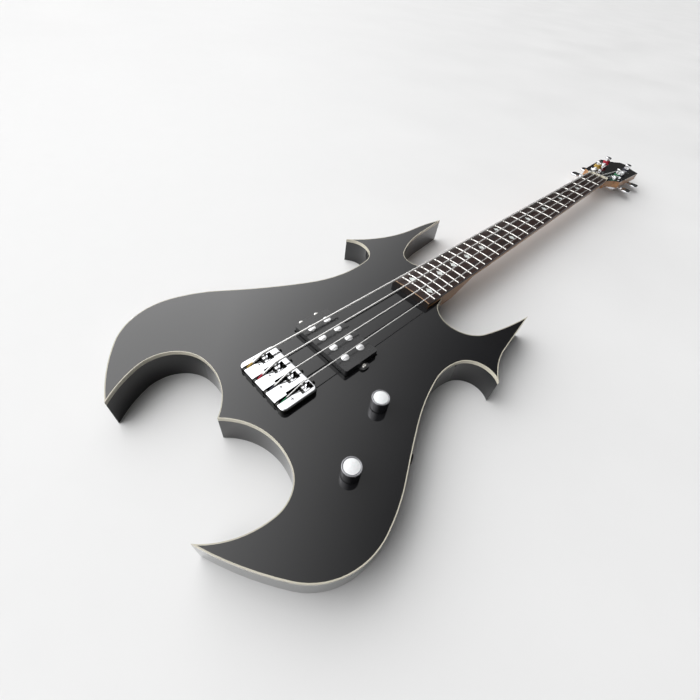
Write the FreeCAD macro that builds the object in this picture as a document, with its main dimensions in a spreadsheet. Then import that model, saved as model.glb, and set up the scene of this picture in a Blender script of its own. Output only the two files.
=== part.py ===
import FreeCAD, Part
import Sketcher
import math
import operator
import os

from FreeCAD import Placement, Rotation, Vector

# Electric bass guitar lying on its back. The origin is on the flat back, under the saddles on the
# centreline. X runs along the neck to the headstock, Y to the bass side, Z out of the face.

SIZES = {
    # strings and fretboard
    "scale_length": 863.6, "fret_count": 24, "saddle_spacing": 18.6, "nut_spacing": 11.1,
    "string_rise_nut": 2.64, "string_rise_saddle": 5.2,
    "string_e_diameter": 2.67, "string_a_diameter": 2.16,
    "string_d_diameter": 1.65, "string_g_diameter": 1.14,
    "nut_width": 42.8, "nut_thickness": 5.0, "board_end": 201.0, "board_end_width": 61.8,
    "board_thickness": 6.0, "board_rise": 9.5, "board_radius": 400.0,
    "fret_width": 2.4, "fret_height": 1.0, "fret_tang_width": 0.6, "fret_tang_depth": 2.0,
    "fret_inset": 0.6, "inlay_length": 9.0, "inlay_width": 12.0, "inlay_depth": 1.5,
    "inlay_pair_offset": 14.8, "inlay_shift": 2.5,
    # body
    "body_thickness": 38.0, "binding_height": 4.6, "binding_width": 1.0,
    # neck
    "heel_depth": 16.0, "heel_length": 67.0, "heel_taper": 45.0, "neck_depth_body": 17.5,
    "neck_depth_nut": 15.0, "neck_side": 4.0,
    "bolt_row_inner": 211.0, "bolt_row_outer": 245.0, "bolt_y_inner": 19.0, "bolt_y_outer": 14.0,
    "bolt_radius": 2.5, "bolt_head_radius": 4.6, "bolt_head_height": 2.2, "bolt_length": 34.0,
    "ferrule_radius": 7.0, "ferrule_height": 4.0, "bolt_recess": 0.4, "ferrule_clearance": 0.3,
    # headstock
    "headstock_thickness": 14.0, "headstock_tilt": 3.0, "headstock_drop": 1.0,
    "veneer_thickness": 1.0, "head_neck_length": 12.0, "head_neck_inset": 0.2,
    "head_overlap": 3.0, "veneer_start": 0.3, "head_shoulder": 42.0,
    "head_shoulder_half": 41.0, "head_point": 165.0, "head_point_half": 46.0,
    "head_tip": 202.0, "head_tip_half": 9.0, "head_flare_radius": 42.0, "head_scoop_radius": 75.0,
    # truss rod
    "rod_start": 225.0, "rod_width": 6.0, "rod_depth": 9.5, "rod_end_radius": 2.5,
    "rod_axis_depth": 6.7, "rod_end_length": 18.0, "rod_bar_gap": 2.0,
    "rod_nut_radius": 3.9, "rod_nut_length": 10.0,
    "rod_nut_start": 6.0, "rod_pocket_length": 32.0, "rod_pocket_half": 5.2,
    "rod_pocket_depth": 10.0, "rod_cover_length": 45.0, "rod_cover_half": 11.0,
    "rod_cover_thickness": 1.6, "rod_cover_start": 1.0, "rod_pocket_start": 1.5,
    # tuners
    "tuner_near": 62.0, "tuner_far": 125.0, "tuner_half": 24.0, "post_radius": 6.0,
    "post_waist_radius": 5.0, "post_cap_radius": 6.5, "post_waist_start": 17.5,
    "post_waist_end": 28.5, "post_top": 32.5, "post_slot_width": 3.2, "post_slot_depth": 3.5,
    "bushing_radius": 8.5, "bushing_flange_radius": 10.5, "bushing_flange": 2.0,
    "gear_module": 1.0, "gear_teeth": 20, "gear_face": 5.0, "gear_level": 6.5,
    "gear_addendum": 0.8, "gear_dedendum": 1.1, "gear_gap_width": 1.97, "worm_pitch_radius": 3.5,
    "flank_angle": 20.0, "worm_addendum": 0.7, "worm_shaft_overlap": 0.3,
    "worm_root_radius": 2.3, "worm_thread_width": 1.25, "worm_turns": 4, "worm_bearing": 12.0,
    "plate_thickness": 2.0, "plate_half": 15.0, "plate_inner": 13.5, "plate_outer": 24.0,
    "plate_ear": 3.0, "plate_ear_start": 8.0, "plate_ear_half": 4.6, "plate_screw_margin": 3.5,
    "key_start": 22.0, "key_length": 20.0, "key_half": 11.5, "key_thickness": 4.0,
    "key_collar_radius": 3.6, "key_collar_length": 4.0, "key_corner": 7.4, "key_edge_radius": 1.4,
    # bridge
    "bridge_back": 38.5, "bridge_front": 6.4, "bridge_bass": 36.5, "bridge_treble": 40.5,
    "bridge_height": 7.3, "bridge_corner": 6.0, "bridge_edge_radius": 2.0, "bridge_floor": 1.6,
    "well_behind": 11.1, "well_ahead": 3.8, "slot_back": 23.0, "slot_treble": 1.9,
    "trench_width": 4.2, "trench_floor": 0.8, "ball_pocket_length": 6.0, "ball_pocket_width": 7.0,
    "ball_roof": 0.9, "ball_radius": 2.7, "ball_inset": 3.2, "ball_rise": 3.6,
    "string_bend": 5.7, "string_bend_radius": 6.0, "nut_bend_radius": 25.0,
    "string_turns": 2.25, "turn_gap": 0.5,
    "saddle_length": 6.5, "saddle_bass": 4.6, "saddle_treble": 7.4,
    "saddle_wing": 7.9, "saddle_ridge_half": 2.5, "saddle_ridge_length": 2.5,
    "crest_e": -7.5, "crest_a": -5.1, "crest_d": -2.4, "crest_g": 0.2,
    "intonation_offset": 1.6, "intonation_rise": 4.7, "intonation_radius": 1.3,
    "intonation_head_radius": 2.4, "intonation_head": 2.0, "intonation_tip": 1.0,
    "height_screw_treble": 5.2, "height_screw_bass": 2.6, "height_screw_radius": 1.2,
    "height_screw_proud": 0.2, "height_screw_behind": 3.3,
    "bridge_screw_back": 22.0, "bridge_screw_treble": 5.4,
    # pickup
    "pickup_back": 41.5, "pickup_front": 91.0, "pickup_half": 43.5, "pickup_corner": 2.4,
    "pickup_rise": 8.2, "pickup_sink": 11.0, "pickup_wall": 1.8, "pickup_top": 2.0,
    "pickup_gap": 0.7, "rout_depth": 22.0, "pole_radius": 4.75, "pole_pitch": 18.84,
    "pole_row_back": 54.3, "pole_row_front": 77.8, "pole_proud": 1.0,
    "coil_half": 8.5, "coil_corner": 8.0,
    "coil_reach": 39.0, "ear_reach": 7.5, "ear_gap": 0.7,
    "ear_thickness": 1.8, "ear_corner": 4.0, "ear_screw_offset": 3.5, "bass_ear_half": 19.5,
    "treble_ear_half": 6.2, "ear_screw_spread": 11.6, "pickup_screw_radius": 1.5,
    "pickup_screw_head": 3.1, "pickup_screw_head_height": 1.5, "pickup_screw_length": 30.0,
    "tube_radius": 3.0, "tube_bore": 1.75, "tube_pocket": 10.0,
    # controls
    "volume_x": 42.2, "volume_y": -92.2, "tone_x": -29.1, "tone_y": -124.2,
    "knob_radius": 9.4, "knob_gap": 0.8, "knob_height": 16.2, "knob_dome_radius": 7.6,
    "knob_dome_drop": 0.8,
    "knob_rim_drop": 1.0, "knob_groove": 1.8, "knob_groove_width": 0.5, "knob_fit": 0.02,
    "knob_skirt_bore": 8.0, "knob_skirt_depth": 5.2, "shaft_radius": 3.0, "shaft_rise": 11.0,
    "shaft_foot_gap": 1.0,
    "cavity_radius": 19.0, "cavity_skin": 6.0, "cover_thickness": 2.2, "cover_ledge": 4.5,
    "cover_screw_offset": 21.3, "cover_screw_side": 3.0, "cover_screw_base": 5.0,
    "pot_radius": 11.5, "pot_depth": 9.0, "sleeve_radius": 4.7,
    "pot_sleeve_rise": 4.0, "nut_radius": 6.9, "nut_height": 2.2,
    "capacitor_radius": 2.5, "capacitor_length": 14.0, "wire_radius": 0.9,
    "wire_channel_radius": 3.0, "wire_level": 24.5, "link_level": 27.0,
    "wire_entry_x": 58.0, "wire_entry_reach": 4.0,
    # output jack
    "jack_bore_radius": 9.0, "jack_bore_length": 42.0, "jack_plate_length": 36.0,
    "jack_plate_height": 24.0, "jack_plate_thickness": 1.6, "jack_plate_sink": 0.6,
    "jack_plate_corner": 5.0, "jack_screw_offset": 13.8, "jack_socket_radius": 3.25,
    "jack_sleeve_rise": 3.8, "jack_body_radius": 7.5, "jack_body_length": 24.0, "jack_floor": 2.0,
    # strap buttons
    "button_radius": 8.0, "button_waist": 4.2, "button_base": 6.5, "button_height": 12.5,
    "button_sink": 1.2, "button_foot": 1.5, "button_flare": 2.0, "button_head": 3.0,
    "strap_screw_radius": 2.1, "strap_screw_length": 34.0,
    # screws and fits
    "edge_chamfer": 0.6, "slot_width": 0.8, "shaft_chamfer": 1.0,
    "small_screw_head": 2.6, "small_screw_radius": 1.2, "small_screw_length": 9.5,
    "bridge_screw_head": 2.6, "bridge_screw_radius": 1.6, "bridge_screw_length": 20.0,
    "running_fit": 0.06, "slide_fit": 0.1, "string_gap": 0.3, "cover_fit": 0.15,
}

# Body outline, anticlockwise from the neck: name, x, y and the radius of the arc to the next point.
# A positive radius bulges outwards, a negative one scoops inwards and 0 is a straight edge.
OUTLINE = [
    ("heel_bass", 265.5, 39.6, -26.0),
    ("bass_bay", 276.9, 73.3, -173.2),
    ("bass_horn_root", 342.9, 93.0, 0),
    ("bass_horn_tip", 404.0, 99.1, 331.2),
    ("bass_horn_top", 339.0, 107.7, -189.4),
    ("bass_hook_tip", 226.4, 149.5, -33.5),
    ("bass_hook_end", 209.5, 91.6, -169.4),
    ("bass_waist_end", 111.8, 103.5, -739.3),
    ("bass_hip", 13.5, 156.2, 168.9),
    ("bass_hip_peak", -39.6, 178.4, 78.4),
    ("bass_leg", -119.6, 149.4, 239.1),
    ("bass_tail_tip", -156.3, 79.5, -123.3),
    ("bass_scoop_top", -117.3, 103.3, -42.4),
    ("bass_scoop_end", -60.5, 71.1, -77.0),
    ("tail_cusp", -86.7, -1.5, -76.1),
    ("treble_scoop_end", -63.8, -84.5, -36.8),
    ("treble_scoop_top", -99.8, -109.3, -83.5),
    ("treble_tail_tip", -158.0, -83.0, 336.9),
    ("treble_leg", -118.1, -154.5, 71.3),
    ("treble_hip_peak", -41.5, -181.1, 197.9),
    ("treble_hip", 5.5, -161.3, -1161.7),
    ("treble_side_end", 56.9, -133.1, -271.4),
    ("treble_waist", 118.5, -110.2, -73.0),
    ("treble_waist_end", 157.3, -111.5, -29.2),
    ("treble_hook_tip", 170.0, -159.2, -104.3),
    ("treble_edge", 222.2, -137.0, 0),
    ("treble_horn_tip", 301.4, -126.4, -355.1),
    ("treble_bay", 223.7, -107.4, -37.2),
    ("treble_bay_end", 199.7, -77.7, -43.2),
    ("heel_treble", 218.0, -36.0, 0),
    ("tongue_treble", 258.0, -24.0, 0),
    ("tongue_bass", 270.0, 24.0, 0),
]
for key, key_x, key_y, key_radius in OUTLINE:
    SIZES[key + "_x"] = key_x
    SIZES[key + "_y"] = key_y
    if key_radius:
        SIZES[key + "_radius"] = key_radius

STRINGS = ("e", "a", "d", "g")
SINGLE_INLAYS = (3, 5, 7, 9, 15, 17, 19, 21)
DOUBLE_INLAYS = (12, 24)
UP = Vector(0, 0, 1)
ALONG = Vector(1, 0, 0)
# How far a cutting solid runs past the face that it cuts through.
PAST = 1.0
# An arc that closes a slot has this much more radius than half its chord, so it has one centre.
NEAR_HALF = 1.0001
# Sizes of a cross recess as shares of the screw head's radius, and of a hexagon socket in a screw.
RECESS_LENGTH = 0.65
RECESS_HALF_WIDTH = 0.14
RECESS_DEPTH = 0.3
SOCKET = 0.55
# Radius of a screw's blunt point as a share of its shank.
BLUNT = 0.2

doc = FreeCAD.newDocument("bass_guitar")
sheet = doc.addObject("Spreadsheet::Sheet", "Sizes")
for row, (alias, number) in enumerate(SIZES.items(), 1):
    sheet.set(f"A{row}", alias)
    sheet.set(f"B{row}", str(number))
    sheet.setAlias(f"B{row}", alias)
doc.recompute()


class Size:
    """A length that knows its value and the sheet expression that gives it."""

    def __init__(self, value, text):
        self.value = value
        self.text = text

    def __add__(self, other):
        return combine(operator.add, "+", self, other)

    def __radd__(self, other):
        return combine(operator.add, "+", other, self)

    def __sub__(self, other):
        return combine(operator.sub, "-", self, other)

    def __rsub__(self, other):
        return combine(operator.sub, "-", other, self)

    def __mul__(self, other):
        return combine(operator.mul, "*", self, other)

    def __rmul__(self, other):
        return combine(operator.mul, "*", other, self)

    def __truediv__(self, other):
        return combine(operator.truediv, "/", self, other)

    def __neg__(self):
        return Size(-self.value, f"(0 - {self.text})")


def as_size(length):
    if isinstance(length, Size):
        return length
    return Size(length, f"({float(length):.9f})")


def combine(action, sign, left, right):
    left = as_size(left)
    right = as_size(right)
    return Size(action(left.value, right.value), f"({left.text} {sign} {right.text})")


class SheetReader:
    """Gives a cell of the sheet as a Size, by its alias."""

    def __getattr__(self, alias):
        return Size(float(sheet.get(alias)), "Sizes." + alias)

    def __getitem__(self, alias):
        return getattr(self, alias)


d = SheetReader()


def value(length):
    return as_size(length).value


def bind(item, prop, length):
    item.setExpression(prop, as_size(length).text)


def place(item, x, y, z, turn=Rotation()):
    item.Placement = Placement(Vector(value(x), value(y), value(z)), turn)
    for axis, length in zip("xyz", (x, y, z)):
        bind(item, "Placement.Base." + axis, length)
    return item


# Sketches and the bodies made from them

def arc_between(start, end, radius):
    """The shorter arc from start to end; a positive radius turns left on the way."""
    chord = end - start
    half = chord.Length / 2
    side = Vector(-chord.y, chord.x, 0).normalize()
    reach = math.sqrt(radius * radius - half * half)
    centre = (start + end) / 2 + side * math.copysign(reach, radius)
    angles = [math.atan2(p.y - centre.y, p.x - centre.x) for p in (start, end)]
    if radius < 0:
        angles.reverse()
    return Part.ArcOfCircle(Part.Circle(centre, UP, abs(radius)), *angles)


def profile(sketch, points):
    """Draw a closed line through (x, y, radius to the next point) and bind every size of it."""
    count = len(points)
    spots = [Vector(value(x), value(y), 0) for x, y, radius in points]
    starts = []
    for index, (x, y, radius) in enumerate(points):
        start = spots[index]
        end = spots[(index + 1) % count]
        bend = value(radius)
        if bend:
            sketch.addGeometry(arc_between(start, end, bend))
        else:
            sketch.addGeometry(Part.LineSegment(start, end))
        starts.append(2 if bend < 0 else 1)
    for index, (x, y, radius) in enumerate(points):
        after = (index + 1) % count
        first = starts[index]
        last = 3 - first
        sketch.addConstraint(Sketcher.Constraint("Coincident", index, last, after, starts[after]))
        if value(radius):
            number = sketch.addConstraint(Sketcher.Constraint("Radius", index, abs(value(radius))))
            bind(sketch, f"Constraints[{number}]", radius if value(radius) > 0 else -as_size(radius))
        for kind, length, axis in (("DistanceX", x, -2), ("DistanceY", y, -1)):
            if value(length) == 0:
                sketch.addConstraint(Sketcher.Constraint("PointOnObject", index, first, axis))
                continue
            rule = Sketcher.Constraint(kind, -1, 1, index, first, value(length))
            number = sketch.addConstraint(rule)
            bind(sketch, f"Constraints[{number}]", length)


def sketch_on(body, role, points, offset=0):
    sketch = body.newObject("Sketcher::SketchObject", body.Name + "_sketch")
    plane = [item for item in body.Origin.OriginFeatures if item.Role == role][0]
    sketch.AttachmentSupport = [(plane, "")]
    sketch.MapMode = "FlatFace"
    if value(offset):
        bind(sketch, "AttachmentOffset.Base.z", offset)
    profile(sketch, points)
    return sketch


def padded(name, points, height, level=0):
    """A plate: an outline on the XY plane, raised to a level and padded upwards."""
    body = doc.addObject("PartDesign::Body", name)
    sketch = sketch_on(body, "XY_Plane", points, level)
    pad = body.newObject("PartDesign::Pad", name + "_pad")
    pad.Profile = sketch
    bind(pad, "Length", height)
    return body


def turned(name, points):
    """A turned piece: a half section of (radius, height, arc radius) points about the Z axis."""
    body = doc.addObject("PartDesign::Body", name)
    sketch = sketch_on(body, "XZ_Plane", points)
    spin = body.newObject("PartDesign::Revolution", name + "_spin")
    spin.Profile = sketch
    spin.ReferenceAxis = (sketch, ["V_Axis"])
    spin.Angle = 360
    return body


def rounded(low_x, low_y, high_x, high_y, corner):
    """The points of a rectangle with round corners."""
    return [
        (low_x + corner, low_y, 0), (high_x - corner, low_y, corner),
        (high_x, low_y + corner, 0), (high_x, high_y - corner, corner),
        (high_x - corner, high_y, 0), (low_x + corner, high_y, corner),
        (low_x, high_y - corner, 0), (low_x, low_y + corner, corner),
    ]


# Primitives and booleans

def box(name, low, high):
    item = doc.addObject("Part::Box", name)
    for prop, start, end in zip(("Length", "Width", "Height"), low, high):
        bind(item, prop, as_size(end) - start)
    return place(item, *low)


def rod(name, radius, height, x, y, z, axis=UP):
    item = doc.addObject("Part::Cylinder", name)
    bind(item, "Radius", radius)
    bind(item, "Height", height)
    return place(item, x, y, z, Rotation(UP, axis))


def hexagon(name, radius, height, x, y, z, axis=UP):
    item = doc.addObject("Part::Prism", name)
    item.Polygon = 6
    bind(item, "Circumradius", radius)
    bind(item, "Height", height)
    return place(item, x, y, z, Rotation(UP, axis))


def cut(name, base, *tools):
    result = base
    for number, tool in enumerate(tools, 1):
        last = number == len(tools)
        step = doc.addObject("Part::Cut", name if last else f"{name}_step{number}")
        step.Base = result
        step.Tool = tool
        result = step
    return result


def fuse(name, *items):
    item = doc.addObject("Part::MultiFuse", name)
    item.Shapes = list(items)
    item.Refine = True
    return item


def common(name, first, second):
    item = doc.addObject("Part::Common", name)
    item.Base = first
    item.Tool = second
    return item


def feature(name, shape, where=None):
    item = doc.addObject("Part::Feature", name)
    item.Shape = shape
    if where is not None:
        item.Placement = where
    return item


def copies(name, master, places):
    """A group of separate solids: one copy of the master at each place."""
    doc.recompute()
    solids = []
    for where in places:
        solid = master.Shape.copy()
        solid.Placement = where.multiply(master.Shape.Placement)
        solids.append(solid)
    return feature(name, Part.makeCompound(solids))


def screw(name, head, radius, length):
    """A countersunk wood screw with a cross recess, flush with Z = 0, and the blank for its hole."""
    cone = head - radius
    blank = turned(name + "_blank", [
        (0, 0, 0), (head, 0, 0), (radius, -cone, 0),
        (radius, radius * 2 - length, 0), (radius * BLUNT, -length, 0), (0, -length, 0),
    ])
    long = head * RECESS_LENGTH
    thin = head * RECESS_HALF_WIDTH
    deep = head * RECESS_DEPTH
    slots = [
        box(name + "_slot", (-long, -thin, -deep), (long, thin, deep)),
        box(name + "_cross", (-thin, -long, -deep), (thin, long, deep)),
    ]
    return cut(name, blank, *slots), blank


def at(x, y, z, turn=Rotation()):
    return Placement(Vector(value(x), value(y), value(z)), turn)


# Levels and places that many pieces share

top = d.body_thickness
board_top = top + d.board_rise
board_bottom = board_top - d.board_thickness
heel_floor = top - d.heel_depth
head_start = d.scale_length + d.nut_thickness
head_level = board_bottom - d.headstock_drop
head_turn = Rotation(Vector(0, 1, 0), value(d.headstock_tilt))
head_frame = at(head_start, 0, head_level, head_turn)
FACE_DOWN = Rotation(ALONG, 180)
string_steps = dict(zip(STRINGS, (1.5, 0.5, -0.5, -1.5)))
volume_spot = Vector(value(d.volume_x), value(d.volume_y), 0)
tone_spot = Vector(value(d.tone_x), value(d.tone_y), 0)


def board_half(x):
    """Half the width of the fretboard at a distance from the saddles."""
    taper = (d.board_end_width - d.nut_width) / (d.scale_length - d.board_end) / 2
    return d.nut_width / 2 + (d.scale_length - x) * taper


def crown(radius, y):
    """Height at y of a cylinder of this radius about the axis of the fretboard's curve."""
    axis = value(board_top - d.board_radius)
    return axis + math.sqrt(value(radius) ** 2 - y * y)


def fret_x(number):
    return value(d.scale_length) * 2 ** (-number / 12)


def edge_middle(key):
    """Middle of an outline arc and the outward direction there."""
    names = [item[0] for item in OUTLINE]
    after = names[(names.index(key) + 1) % len(names)]
    start = Vector(value(d[key + "_x"]), value(d[key + "_y"]), 0)
    end = Vector(value(d[after + "_x"]), value(d[after + "_y"]), 0)
    arc = arc_between(start, end, value(d[key + "_radius"]))
    spot = arc.value((arc.FirstParameter + arc.LastParameter) / 2)
    along = (end - start).normalize()
    return spot, Vector(along.y, -along.x, 0)


def outline_points():
    return [
        (d[key + "_x"], d[key + "_y"], d[key + "_radius"] if radius else 0)
        for key, x, y, radius in OUTLINE
    ]


def curved_board(name, low_x, high_x, radius):
    """A long cylinder whose top is the curve of the fretboard, for cutting pieces to it."""
    return rod(name, radius, high_x - low_x, low_x, 0, board_top - d.board_radius, ALONG)


# Strings: straight runs joined by arcs, then turns round the post

def biarc(start, out, end, into):
    """Two arcs from start to end that leave along out and arrive along into."""
    gap = end - start
    both = out + into
    bend = 2 * (1 - out.dot(into))
    along = gap.dot(both)
    reach = (math.sqrt(along * along + bend * gap.dot(gap)) - along) / bend
    middle = (start + end + (out - into) * reach) / 2
    return [
        bent(start, start + out * reach, middle),
        bent(middle, end - into * reach, end),
    ]


def bent(start, corner, end):
    """The arc that touches start-corner at start and corner-end at end."""
    weight = (end - start).Length / 2 / (corner - start).Length
    middle = (start + corner * (2 * weight) + end) / (2 + 2 * weight)
    return Part.Arc(start, middle, end).toShape()


def round_corner(before, corner, after, radius):
    """Touching points and arc of a bend of this radius between two runs."""
    back = (before - corner).normalize()
    ahead = (after - corner).normalize()
    half_turn = (math.pi - back.getAngle(ahead)) / 2
    reach = radius * math.tan(half_turn)
    first = corner + back * reach
    second = corner + ahead * reach
    return first, bent(first, corner, second), second


def post_place(string):
    """Post axis on the headstock, in the headstock's frame, and the side it stands on."""
    near = string in ("e", "g")
    side = 1 if string in ("e", "a") else -1
    return Vector(value(d.tuner_near if near else d.tuner_far), side * value(d.tuner_half), 0), side


def string_line(string, x):
    """Point on the string's playing line at x."""
    step = string_steps[string]
    saddle_y = step * value(d.saddle_spacing)
    nut_y = step * value(d.nut_spacing)
    low = crown(d.board_radius + d.string_rise_nut, nut_y)
    high = crown(d.board_radius + d.string_rise_saddle, saddle_y)
    share = x / value(d.scale_length)
    return Vector(x, saddle_y + (nut_y - saddle_y) * share, high + (low - high) * share)


def string_path(string, diameter):
    """Edges of the string from its ball end over saddle and nut to the turns on its post."""
    ball_x = value(d.ball_inset - d.bridge_back)
    ball = string_line(string, ball_x)
    ball.z = value(top + d.ball_rise)
    bend = string_line(string, value(d["crest_" + string] - d.string_bend))
    nut = string_line(string, value(d.scale_length + d.nut_thickness / 2))
    post, side = post_place(string)
    coil = value(d.post_waist_radius + d.string_gap) + diameter / 2
    level = value(d.post_waist_start + d.string_gap - d.headstock_thickness) + diameter / 2
    local_nut = head_frame.inverse().multVec(nut)
    to_post = Vector(post.x - local_nut.x, post.y - local_nut.y, 0)
    swing = -side * math.asin(coil / to_post.Length)
    heading = math.atan2(to_post.y, to_post.x) + swing
    tangent = Vector(math.cos(heading), math.sin(heading), 0)
    angle = heading - side * math.pi / 2
    pitch = diameter + value(d.turn_gap)

    def coil_point(quarter):
        turn = angle + side * quarter * math.pi / 2
        lift = level + pitch * quarter / 4
        return head_frame.multVec(Vector(
            post.x + coil * math.cos(turn), post.y + coil * math.sin(turn), lift))

    def coil_heading(quarter):
        turn = heading + side * quarter * math.pi / 2
        rise = pitch / (2 * math.pi * coil)
        way = Vector(math.cos(turn), math.sin(turn), rise).normalize()
        return head_frame.Rotation.multVec(way)

    arrive = coil_point(0)
    edges = []
    bend_in, bend_arc, bend_out = round_corner(ball, bend, nut, value(d.string_bend_radius))
    nut_in, nut_arc, nut_out = round_corner(bend, nut, arrive, value(d.nut_bend_radius))
    edges.append(Part.LineSegment(ball, bend_in).toShape())
    edges.append(bend_arc)
    edges.append(Part.LineSegment(bend_out, nut_in).toShape())
    edges.append(nut_arc)
    edges.append(Part.LineSegment(nut_out, arrive).toShape())
    direction = (arrive - nut_out).normalize()
    for quarter in range(int(value(d.string_turns) * 4)):
        ahead = coil_heading(quarter + 1)
        edges += biarc(coil_point(quarter), direction, coil_point(quarter + 1), ahead)
        direction = ahead
    return edges, ball, pitch - diameter


def make_string(string):
    name = "string_" + string
    diameter = value(d[name + "_diameter"])
    edges, ball, gap = string_path(string, diameter)
    path = Part.Wire(edges)
    start = edges[0].Vertexes[0].Point
    along = edges[0].tangentAt(edges[0].FirstParameter)
    section = Part.Wire([Part.makeCircle(diameter / 2, start, along)])
    tube = path.makePipeShell([section], True, False)
    expected = math.pi * diameter ** 2 / 4 * path.Length
    print(f"{name}: length {path.Length:.0f} mm, volume {tube.Volume / expected:.4f} of section"
          f" times length, least gap between turns {gap:.2f} mm")
    radius = value(d.ball_radius)
    end_ball = Part.makeCylinder(radius, 2 * radius, ball - Vector(0, radius, 0), Vector(0, 1, 0))
    return feature(name, tube.fuse(end_ball).removeSplitter())


# Tuners: frame with its origin on the back of the headstock, X outwards through the key

def tuner_frame(string):
    post, side = post_place(string)
    local = Placement(post - Vector(0, 0, value(d.headstock_thickness)), Rotation(UP, 90 * side))
    return head_frame.multiply(local)


def make_gear():
    """The worm wheel: a disc with gaps cut along the slant of the worm's thread."""
    pitch_radius = value(d.gear_module * d.gear_teeth) / 2
    outer = pitch_radius + value(d.gear_addendum)
    root = pitch_radius - value(d.gear_dedendum)
    face = value(d.gear_face)
    slant = value(d.gear_module) / (2 * value(d.worm_pitch_radius))
    flank = math.tan(math.radians(value(d.flank_angle)))
    half_gap = value(d.gear_gap_width) / 2
    foot = half_gap - value(d.gear_dedendum) * flank
    brim_radius = outer + PAST / 2
    brim = half_gap + (brim_radius - pitch_radius) * flank
    low = -value(d.gear_level) - face / 2
    disc = Part.makeCylinder(outer, face, Vector(0, 0, low))
    over = (face + PAST) / 2
    corners = [Vector(-foot, root, 0), Vector(foot, root, 0), Vector(brim, brim_radius, 0),
               Vector(-brim, brim_radius, 0)]
    gap = Part.Face(Part.makePolygon(corners + corners[:1]))
    gap.translate(Vector(slant * over, 0, -value(d.gear_level) - over))
    gap = gap.extrude(Vector(-2 * slant * over, 0, 2 * over))
    gaps = []
    teeth = int(value(d.gear_teeth))
    for tooth in range(teeth):
        turned_gap = gap.copy()
        turned_gap.rotate(Vector(), UP, 360 / teeth * tooth)
        gaps.append(turned_gap)
    return feature("gear_blank", disc.cut(Part.makeCompound(gaps)))


def make_post():
    """String post with a waist for the turns, a slotted cap and the worm wheel on its foot."""
    waist = d.post_waist_radius
    chamfer = d.shaft_chamfer
    foot = -d.gear_level - d.gear_face / 2 - chamfer
    shoulder = d.post_radius - waist
    stem = turned("post_stem", [
        (0, foot, 0), (d.post_radius - chamfer, foot, 0), (d.post_radius, foot + chamfer, 0),
        (d.post_radius, d.post_waist_start - shoulder, 0), (waist, d.post_waist_start, 0),
        (waist, d.post_waist_end, 0), (d.post_cap_radius, d.post_waist_end + chamfer, 0),
        (d.post_cap_radius, d.post_top - chamfer, 0), (d.post_cap_radius - chamfer, d.post_top, 0),
        (0, d.post_top, 0),
    ])
    half = d.post_slot_width / 2
    slot = box("post_slot", (-d.post_cap_radius, -half, d.post_top - d.post_slot_depth),
               (d.post_cap_radius, half, d.post_top))
    hole = rod("post_hole", half, d.post_slot_depth * 3, 0, 0, d.post_top - d.post_slot_depth * 3)
    return fuse("post_master", cut("post_cut", stem, slot, hole), make_gear())


def worm_axis_y():
    return d.gear_module * d.gear_teeth / 2 + d.worm_pitch_radius


def make_key():
    """Key with its shaft and worm. The thread's crest faces the wheel at the middle."""
    lead = value(d.gear_module) * math.pi
    turns = int(value(d.worm_turns))
    pitch_radius = value(d.worm_pitch_radius)
    crest = pitch_radius + value(d.worm_addendum)
    inner = value(d.worm_root_radius - d.worm_shaft_overlap)
    flank = math.tan(math.radians(value(d.flank_angle)))
    half = value(d.worm_thread_width) / 2
    narrow = half - (crest - pitch_radius) * flank
    wide = half + (pitch_radius - inner) * flank
    corners = [Vector(inner, 0, -wide), Vector(crest, 0, -narrow), Vector(crest, 0, narrow),
               Vector(inner, 0, wide)]
    section = Part.makePolygon(corners + corners[:1])
    helix = Part.makeHelix(lead, lead * turns, pitch_radius)
    thread = Part.Wire(helix.Edges).makePipeShell([section], True, True)
    thread.translate(Vector(0, 0, -lead * turns / 2))
    core = Part.makeCylinder(value(d.worm_root_radius), value(d.worm_bearing + d.key_start),
                             Vector(0, 0, -value(d.worm_bearing)))
    worm = core.fuse(thread)
    # The worm's X axis faces the wheel and its Z axis runs out to the key.
    turn = Rotation(Vector(0, -1, 0), Vector(0, 0, -1), ALONG, "ZXY")
    worm_piece = feature("worm", worm, at(0, worm_axis_y(), -d.gear_level, turn))
    collar = rod("key_collar", d.key_collar_radius, d.key_collar_length,
                 d.key_start + PAST - d.key_collar_length, worm_axis_y(), -d.gear_level, ALONG)
    blade = padded("key_blade", rounded(d.key_start, -d.key_half, d.key_start + d.key_length,
                                        d.key_half, d.key_corner), d.key_thickness)
    doc.recompute()
    edge = blade.newObject("PartDesign::Fillet", "key_edge")
    edge.Base = (blade.Group[1], ["Face9", "Face10"])
    bind(edge, "Radius", d.key_edge_radius)
    place(blade, 0, worm_axis_y(), -d.gear_level - d.key_thickness / 2)
    return fuse("key_master", worm_piece, collar, blade)


def make_plate():
    """Tuner base plate on the back of the headstock, with two ears that carry the worm."""
    thick = d.plate_thickness
    sheet_plate = padded("plate_sheet", rounded(-d.plate_half, -d.plate_inner, d.plate_half,
                                                d.plate_outer, d.plate_ear), thick, -thick)
    axis = worm_axis_y()
    low = -d.gear_level - d.plate_ear_half
    ears = []
    for name, start in (("inner", -d.plate_ear_start - d.plate_ear), ("outer", d.plate_ear_start)):
        ears.append(box("plate_ear_" + name, (start, axis - d.plate_ear_half, low),
                        (start + d.plate_ear, axis + d.plate_ear_half, -thick / 2)))
    solid = fuse("plate_solid", sheet_plate, *ears)
    post_hole = rod("plate_post_hole", d.post_radius + d.string_gap, thick * 2, 0, 0, -thick * 1.5)
    bearing = rod("plate_bearing", d.worm_root_radius + d.running_fit, d.plate_half * 2,
                  -d.plate_half, axis, -d.gear_level, ALONG)
    return cut("plate_bored", solid, post_hole, bearing)


# Body and binding

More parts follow.
